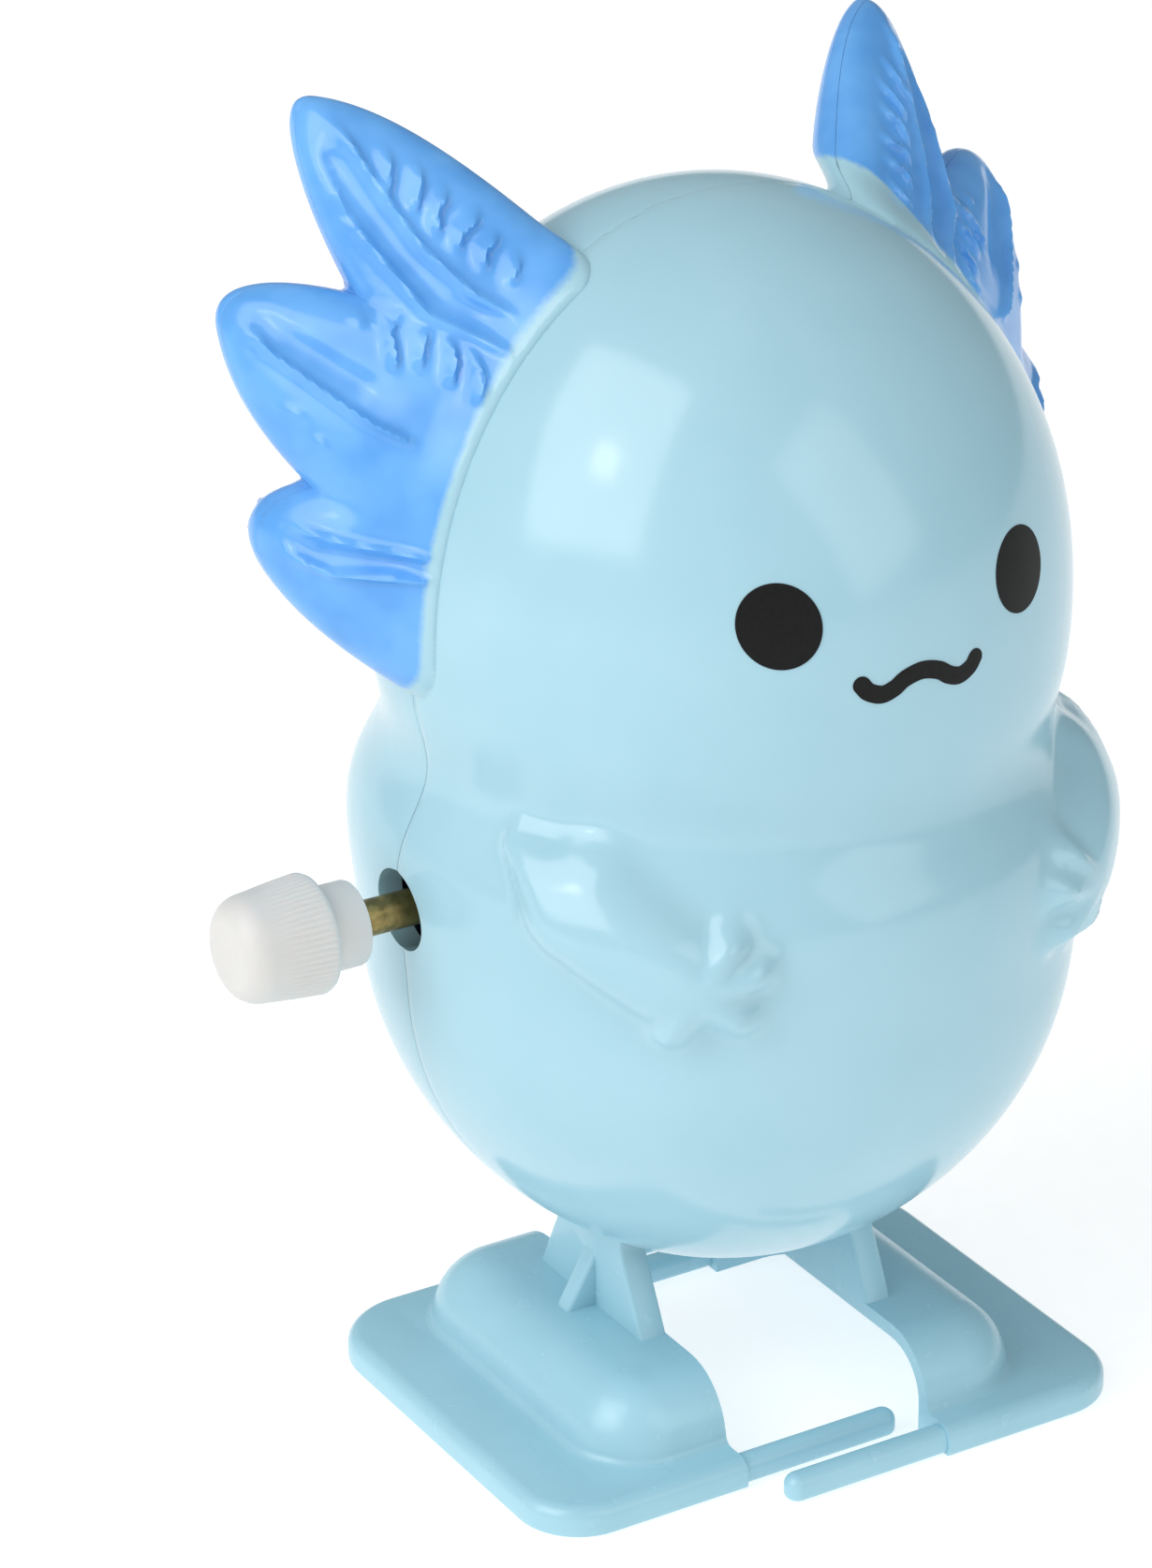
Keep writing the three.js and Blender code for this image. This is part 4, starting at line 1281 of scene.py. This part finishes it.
class Winding:
    """The knob and the arbor that it is pressed on."""

    arbor_radius: float = 1.2
    arbor_x: Point = (-33.8, 4.6)
    knurl_x: Point = (-34.2, -26.5)

    def __init__(self, form: KnobForm, nylon: MouldedPlastic, brass: Metal) -> None:
        """Keeps the form and the finishes.

        Args:
            form: The knob's shape.
            nylon: The knob's plastic.
            brass: The arbor's metal.
        """
        self.form = form
        self.nylon = nylon
        self.brass = brass

    def splines(self, x: float, angles: np.ndarray) -> np.ndarray:
        """The height of the grip's splines, which fade out towards its rounded end.

        Args:
            x: The place along the knob.
            angles: The angles round it.

        Returns:
            The height at each angle.
        """
        form = self.form
        share = float(smoothstep(np.array(x), form.end_x + 1.9, form.end_x + 4.2))
        share *= float(smoothstep(np.array(-x), -form.shoulder_x + 0.25, -form.shoulder_x + 0.6))
        return form.spline_height * share * np.cos(form.splines * angles)

    def knob(self) -> bpy.types.Object:
        """The knob as one moulding with a blind bore.

        Returns:
            The closed moulding.
        """
        form = self.form
        profile = []
        for turn in np.linspace(0.02, math.pi / 2, 14):
            x = form.end_x + form.end_round * (1 - math.cos(turn))
            profile.append((x, form.end_radius - form.end_round * (1 - math.sin(turn)) * 0.9))
        profile[0] = (form.end_x, 0.4)
        profile.insert(1, (form.end_x + 0.02, form.end_radius - form.end_round * 0.93))
        for share in np.linspace(0.08, 1, 12):
            x = form.end_x + form.end_round + share * (form.shoulder_x - 0.5 - form.end_x - form.end_round)
            profile.append((x, form.end_radius + share * (form.grip_radius - form.end_radius)))
        profile += [
            (form.shoulder_x - 0.2, form.grip_radius - 0.12),
            (form.shoulder_x, form.grip_radius - 0.45),
            (form.shoulder_x + 0.02, form.collar_radius + 0.2),
            (form.shoulder_x + 0.2, form.collar_radius),
            (form.mouth_x - 0.25, form.collar_radius),
            (form.mouth_x - 0.06, form.collar_radius - 0.08),
            (form.mouth_x, form.collar_radius - 0.3),
            (form.mouth_x, form.bore + 0.2),
        ]
        knob = turned("knob_moulding", profile, form.splines * 6, self.splines)
        depth = (form.mouth_x - form.bore_depth, form.mouth_x + 1)
        bore = turned("bore", [(x, form.bore) for x in depth], 48)
        return shifted(combine(knob, Cut.REMOVE, bore), z=form.axis_z)

    def arbor(self) -> bpy.types.Object:
        """The brass arbor, straight-knurled where the knob is pressed on.

        Returns:
            The closed turning.
        """
        low, high = self.arbor_x
        radius = self.arbor_radius
        profile = [(low, radius - 0.25), (low + 0.25, radius)]
        profile += [(x, radius) for x in np.linspace(low + 1, self.knurl_x[1] - 0.3, 8)]
        profile += [(self.knurl_x[1] - 0.1, radius), (self.knurl_x[1] + 0.05, radius)]
        profile += [(x, radius) for x in np.linspace(self.knurl_x[1] + 0.3, high - 0.25, 10)]
        profile.append((high, radius - 0.25))

        def knurl(x: float, angles: np.ndarray) -> np.ndarray:
            """The knurl's height at each angle, over its own stretch of the arbor."""
            inside = self.knurl_x[0] < x < self.knurl_x[1]
            return (0.06 * np.abs(np.cos(11 * angles)) - 0.03) * inside

        return shifted(turned("arbor_turning", profile, 132, knurl), z=self.form.axis_z)

    def build(self) -> None:
        """Builds the knob and the arbor on the winder."""
        place(self.knob(), "winder", self.nylon.material(), "winding_knob", sharp=45)
        place(self.arbor(), "winder", self.brass.material(), "winding_arbor", sharp=50)


# ---- Feet ----


@dataclass(frozen=True)
class FootForm:
    """One foot, for the +X side, measured from its crank pin: plate, shoe, leg blade, gusset and bars."""

    inner: float = 6.75
    leg_outer: float = 8.75
    front: float = -16.9
    back: float = 14.9
    outer: float = 21.6
    thickness: float = 2.1
    edge: float = 0.95
    front_corner: float = 4.6
    back_corner: float = 5.4
    shoe_front: float = -14.1
    shoe_back: float = 13.3
    shoe_outer: float = 15.7
    shoe_top: float = 6.7
    shoe_round: float = 4.4
    shoe_fillet: float = 0.7
    wall: float = 1.0
    bar_reach: float = 5.5
    bar_width: float = 2.3
    bar_height: float = 1.9
    pin_z: float = 23.8
    pin_hole: float = 1.08
    guide_z: float = 31.6
    guide_window: float = 3.2
    gusset_out: float = 2.6
    gusset_rise: float = 4.0


class Foot:
    """Builds one foot's moulding from solids with rounded edges, joined into one."""

    def __init__(self, form: FootForm) -> None:
        """Keeps the form.

        Args:
            form: The foot's shape.
        """
        self.form = form

    def shoe(self, inset: float) -> bpy.types.Object:
        """The shoe's outside, or its hollow when inset by the wall.

        Args:
            inset: How far inside the outer surface.

        Returns:
            The solid.
        """
        form = self.form
        round_ = form.shoe_round
        plan = Outline((
            (form.inner - 7, form.shoe_front, 0.1),
            (form.shoe_outer, form.shoe_front, round_ + 0.8),
            (form.shoe_outer, form.shoe_back, round_ + 0.8),
            (form.inner - 7, form.shoe_back, 0.1),
        ))
        levels = rounded(form.thickness + 0.4, form.shoe_top - inset, 0, round_ - inset, 10)
        dome = [(z, level + inset) for z, level in levels]
        if inset:
            return plan.stack("shoe_hollow", [(-1, inset), *dome[1:]], arc=10)
        fillet, floor = form.shoe_fillet, form.thickness
        skirt = [(0.4, -fillet), (floor - 0.02, -fillet)]
        for turn in np.linspace(0.2, math.pi / 2, 6):
            skirt.append((floor + fillet * (1 - math.cos(turn)), -fillet * (1 - math.sin(turn))))
        return plan.stack("shoe", skirt + [level for level in dome if level[0] > floor + fillet], arc=10)

    def plate(self) -> bpy.types.Object:
        """The flat sole plate with its big round outer corners.

        Returns:
            The solid.
        """
        form = self.form
        plan = Outline((
            (form.inner - 3, form.front, 0.1),
            (form.outer, form.front, form.front_corner),
            (form.outer, form.back, form.back_corner),
            (form.inner - 3, form.back, 0.1),
        ))
        return plan.stack("plate", rounded(0, form.thickness, 0.35, form.edge), arc=12)

    def leg(self) -> bpy.types.Object:
        """The leg blade: wide where it stands on the shoe, waisted, with a round end for its guide pin.

        Returns:
            The solid.
        """
        side = Outline((
            (-6.9, 5.8, 0.1), (6.9, 5.8, 0.1), (6.9, 6.2, 0.3), (3.9, 12.2, 2.5), (3.6, 23.8, 3.0),
            (4.9, 31.6, 2.0), (4.9, 36.5, 4.8), (-4.9, 36.5, 4.8), (-4.9, 31.6, 2.0), (-3.6, 23.8, 3.0),
            (-3.9, 12.2, 2.5), (-6.9, 6.2, 0.3),
        ))
        return side.stack("leg", rounded(self.form.inner, self.form.leg_outer, 0.25, 0.3, 3), Axis.X)

    def gusset(self) -> bpy.types.Object:
        """The small triangular rib that props the leg on the shoe's top.

        Returns:
            The solid.
        """
        form = self.form
        low, high = form.shoe_top - 0.6, form.shoe_top + form.gusset_rise
        near, far = form.leg_outer - 0.6, form.leg_outer + form.gusset_out
        side = Outline((
            (low, near, 0.05),
            (high + 0.6, near, 0.05),
            (high, form.leg_outer, 0.3),
            (low, far, 0.5),
        ))
        return side.stack("gusset", rounded(-0.75, 0.75, 0.3, 0.3, 3), Axis.Y)

    def bar(self, front: float) -> bpy.types.Object:
        """A round-topped bar that reaches past the other foot.

        Args:
            front: The y of its front side.

        Returns:
            The solid.
        """
        form = self.form
        low, high = front + 0.3, front + form.bar_width - 0.2
        end = (high - low) / 2 - 0.01
        plan = Outline((
            (-form.bar_reach, low, end), (form.inner + 0.5, low, 0.1),
            (form.inner + 0.5, high, 0.1), (-form.bar_reach, high, end),
        ))
        return plan.stack("bar", rounded(0.1, form.bar_height, 0.45, 0.8), arc=10)

    def moulding(self, name: str) -> bpy.types.Object:
        """The whole foot, for the +X side.

        Args:
            name: The object's name.

        Returns:
            The closed moulding.
        """
        form = self.form
        whole = self.plate()
        whole.name = name
        combine(whole, Cut.JOIN, self.shoe(0))
        combine(whole, Cut.REMOVE, self.shoe(form.wall))
        combine(whole, Cut.KEEP, block("inner_face", (form.inner, 40), (-30, 30), (-5, 60)))
        for piece in (self.leg(), self.gusset(), self.bar(form.front), self.bar(form.back - form.bar_width)):
            combine(whole, Cut.JOIN, piece)
        for z, radius in ((form.pin_z, form.pin_hole), (form.guide_z, form.guide_window)):
            hole = turned("hole", [(form.inner - 2, radius), (form.leg_outer + 2, radius)], 48)
            combine(whole, Cut.REMOVE, shifted(hole, z=z))
        return whole


class Feet:
    """The two feet, each on its own crank pin."""

    def __init__(self, foot: Foot, finish: MouldedPlastic) -> None:
        """Keeps the builder and the finish.

        Args:
            foot: Builds one foot.
            finish: The feet's plastic.
        """
        self.foot = foot
        self.finish = finish

    def build(self) -> None:
        """Builds both feet on their leg bodies."""
        material = self.finish.material()
        for side in Side:
            name = side.name.lower()
            piece = self.foot.moulding(f"{name}_foot_moulding")
            if side is Side.LEFT:
                piece.data.transform(Matrix.Diagonal((-1, 1, 1, 1)))
                piece.data.flip_normals()
            shifted(piece, y=PINS[f"{name}_leg_step"][1])
            place(piece, f"{name}_leg", material, f"{name}_foot", sharp=40)


# ---- Motor ----


class Motor:
    """Finishes for the clockwork pieces, whose CAD shapes are kept."""

    finishes: dict[str, tuple[str, ...]] = {
        "acetal": (
            "motor_case", "motor_cover", "great_wheel", "ratchet_wheel", "second_wheel", "crank_gear",
            "escape_wheel", "pallet", "left_crank", "right_crank", "left_crank_cap", "right_crank_cap",
        ),
        "steel": (
            "second_arbor", "escape_arbor", "pallet_arbor", "crank_axle", "left_guide_pin", "right_guide_pin",
        ),
        "blued": ("mainspring", "click_spring"),
    }

    def __init__(self, acetal: MouldedPlastic, steel: Metal, blued: Metal) -> None:
        """Keeps the finishes.

        Args:
            acetal: The plastic of the case, wheels and cranks.
            steel: The drawn wire of the arbors and pins.
            blued: The tempered steel of the springs.
        """
        self.materials = {"acetal": acetal, "steel": steel, "blued": blued}

    def dress(self) -> None:
        """Gives every kept CAD node its finish."""
        for kind, nodes in self.finishes.items():
            material = self.materials[kind].material()
            for node in nodes:
                for slot in frame["nodes"][node].material_slots:
                    slot.material = material
            LOG.info("%s: %s", kind, ", ".join(nodes))


# ---- Studio ----


@dataclass(frozen=True)
class Softbox:
    """A softbox seen from the head: its direction round from the front and up, size and brightness."""

    name: str
    azimuth: float
    elevation: float
    width: float
    height: float
    radiance: float
    distance: float = 0.6
    tilt: float = 0.0


class Studio:
    """The floor, the soft light and the camera."""

    aim: Vector = Vector((MIDDLE_X * MM, 0, 0.058))
    boxes: tuple[Softbox, ...] = (
        Softbox("key_box", -86, 37, 0.46, 0.57, 2.6, tilt=10),
        Softbox("key_lamp", -82, 35, 0.09, 0.09, 5.0),
        Softbox("front_box", 14.5, 28, 0.31, 0.5, 1.25, tilt=22),
    )
    camera_place: Vector = Vector((MIDDLE_X * MM - 0.1693, -0.2680, 0.1883))
    camera_turn: tuple[float, float, float] = (65.30, -0.29, -32.31)
    lens: float = 122.5
    sensor: Point = (26.4516129, 36.0)
    shift: Point = (-0.0984, 0.0104)
    floor_half: float = 3.0
    bright_side: tuple[float, float, float] = (-0.75, -0.35, 0.55)
    sky_strength: float = 0.62

    def floor(self) -> None:
        """Lays the pale floor."""
        half = self.floor_half
        corners = np.array([[-half, -half, 0], [half, -half, 0], [half, half, 0], [-half, half, 0]])
        floor = solid("floor", corners, [[0, 1, 2, 3]])
        floor.location.z = -0.05 * MM
        floor.data.materials.append(LightTable().material())

    def softbox(self, box: Softbox) -> None:
        """Hangs one softbox.

        Args:
            box: The softbox.
        """
        turn, rise = math.radians(box.azimuth), math.radians(box.elevation)
        away = Vector((math.sin(turn) * math.cos(rise), -math.cos(turn) * math.cos(rise), math.sin(rise)))
        data = bpy.data.lights.new(box.name, "AREA")
        data.shape = "RECTANGLE"
        data.size, data.size_y = box.width, box.height
        data.energy = box.radiance * math.pi * box.width * box.height
        light = bpy.data.objects.new(box.name, data)
        light.location = self.aim + away * box.distance
        facing = away.to_track_quat("Z", "Y").to_matrix().to_4x4()
        facing = facing @ Matrix.Rotation(math.radians(box.tilt), 4, "Z")
        light.rotation_euler = facing.to_euler()
        bpy.context.scene.collection.objects.link(light)

    def sky(self) -> None:
        """Sets the room's own light: bright on the knob's side and overhead, dimmer on the other side."""
        world = bpy.data.worlds.new("studio")
        world.use_nodes = True
        tree = world.node_tree
        way = add_node(tree, "TexCoord").outputs["Generated"]
        side = add_node(tree, "VectorMath", {0: way, 1: self.bright_side}, operation="DOT_PRODUCT")
        limits = {"Value": side.outputs["Value"], "From Min": -1.0, "From Max": 1.0}
        share = add_node(tree, "MapRange", limits).outputs["Result"]
        ramp = add_node(tree, "ValToRGB", {"Fac": share})
        stops = [(0.1, linear("#98A3A8")), (0.5, linear("#CDD3D5")), (0.85, linear("#F4F4F4"))]
        tree.links.new(set_ramp(ramp, stops), tree.nodes["Background"].inputs["Color"])
        tree.nodes["Background"].inputs["Strength"].default_value = self.sky_strength
        bpy.context.scene.world = world

    def camera(self) -> None:
        """Sets the camera up in front of the toy, on its right-hand side, looking down on it."""
        data = bpy.data.cameras.new("camera")
        data.sensor_fit = "VERTICAL"
        data.sensor_width, data.sensor_height = self.sensor
        data.lens = self.lens
        data.shift_x, data.shift_y = self.shift
        data.clip_start, data.clip_end = 0.01, 20.0
        camera = bpy.data.objects.new("camera", data)
        camera.location = self.camera_place
        camera.rotation_euler = [math.radians(turn) for turn in self.camera_turn]
        bpy.context.scene.collection.objects.link(camera)
        bpy.context.scene.camera = camera

    def build(self) -> None:
        """Sets up the whole studio."""
        self.camera()
        self.floor()
        self.sky()
        for box in self.boxes:
            self.softbox(box)
        bpy.context.scene.view_settings.view_transform = "Standard"


def main() -> None:
    """Builds every piece in order."""
    logging.basicConfig(level=logging.INFO, format="%(name)s: %(message)s")
    Studio().build()
    body = BodyForm()
    aqua = PaintedShell("painted_shell_plastic", "#A5CDDB", "#A1CAD8", 0.15)
    Shells(body, ArmRelief(), Gill(GillForm(), body), aqua).build()
    Face(FaceForm(), body, PrintInk()).build()
    nylon = MouldedPlastic(
        "nylon", "#D9D7D4", "#D3D1CE", 0.45, translucency=0.5, peel_mm=0.4, peel_height_mm=0.002
    )
    Winding(KnobForm(), nylon, Metal("turned_brass", "#B79A62", "#7E6C45", 0.3)).build()
    foot_plastic = MouldedPlastic("foot_plastic", "#A2CFDE", "#9DCBDA", 0.26, translucency=0.0)
    Feet(Foot(FootForm()), foot_plastic).build()
    acetal = MouldedPlastic("acetal", "#F1EEE6", "#EAE6DC", 0.38, ior=1.48, translucency=0.3)
    steel = Metal("drawn_steel", "#C4C7CA", "#A3A7AB", 0.24)
    Motor(acetal, steel, Metal("blued_steel", "#6E7884", "#4B5560", 0.3)).dress()


if __name__ == "__main__":
    main()
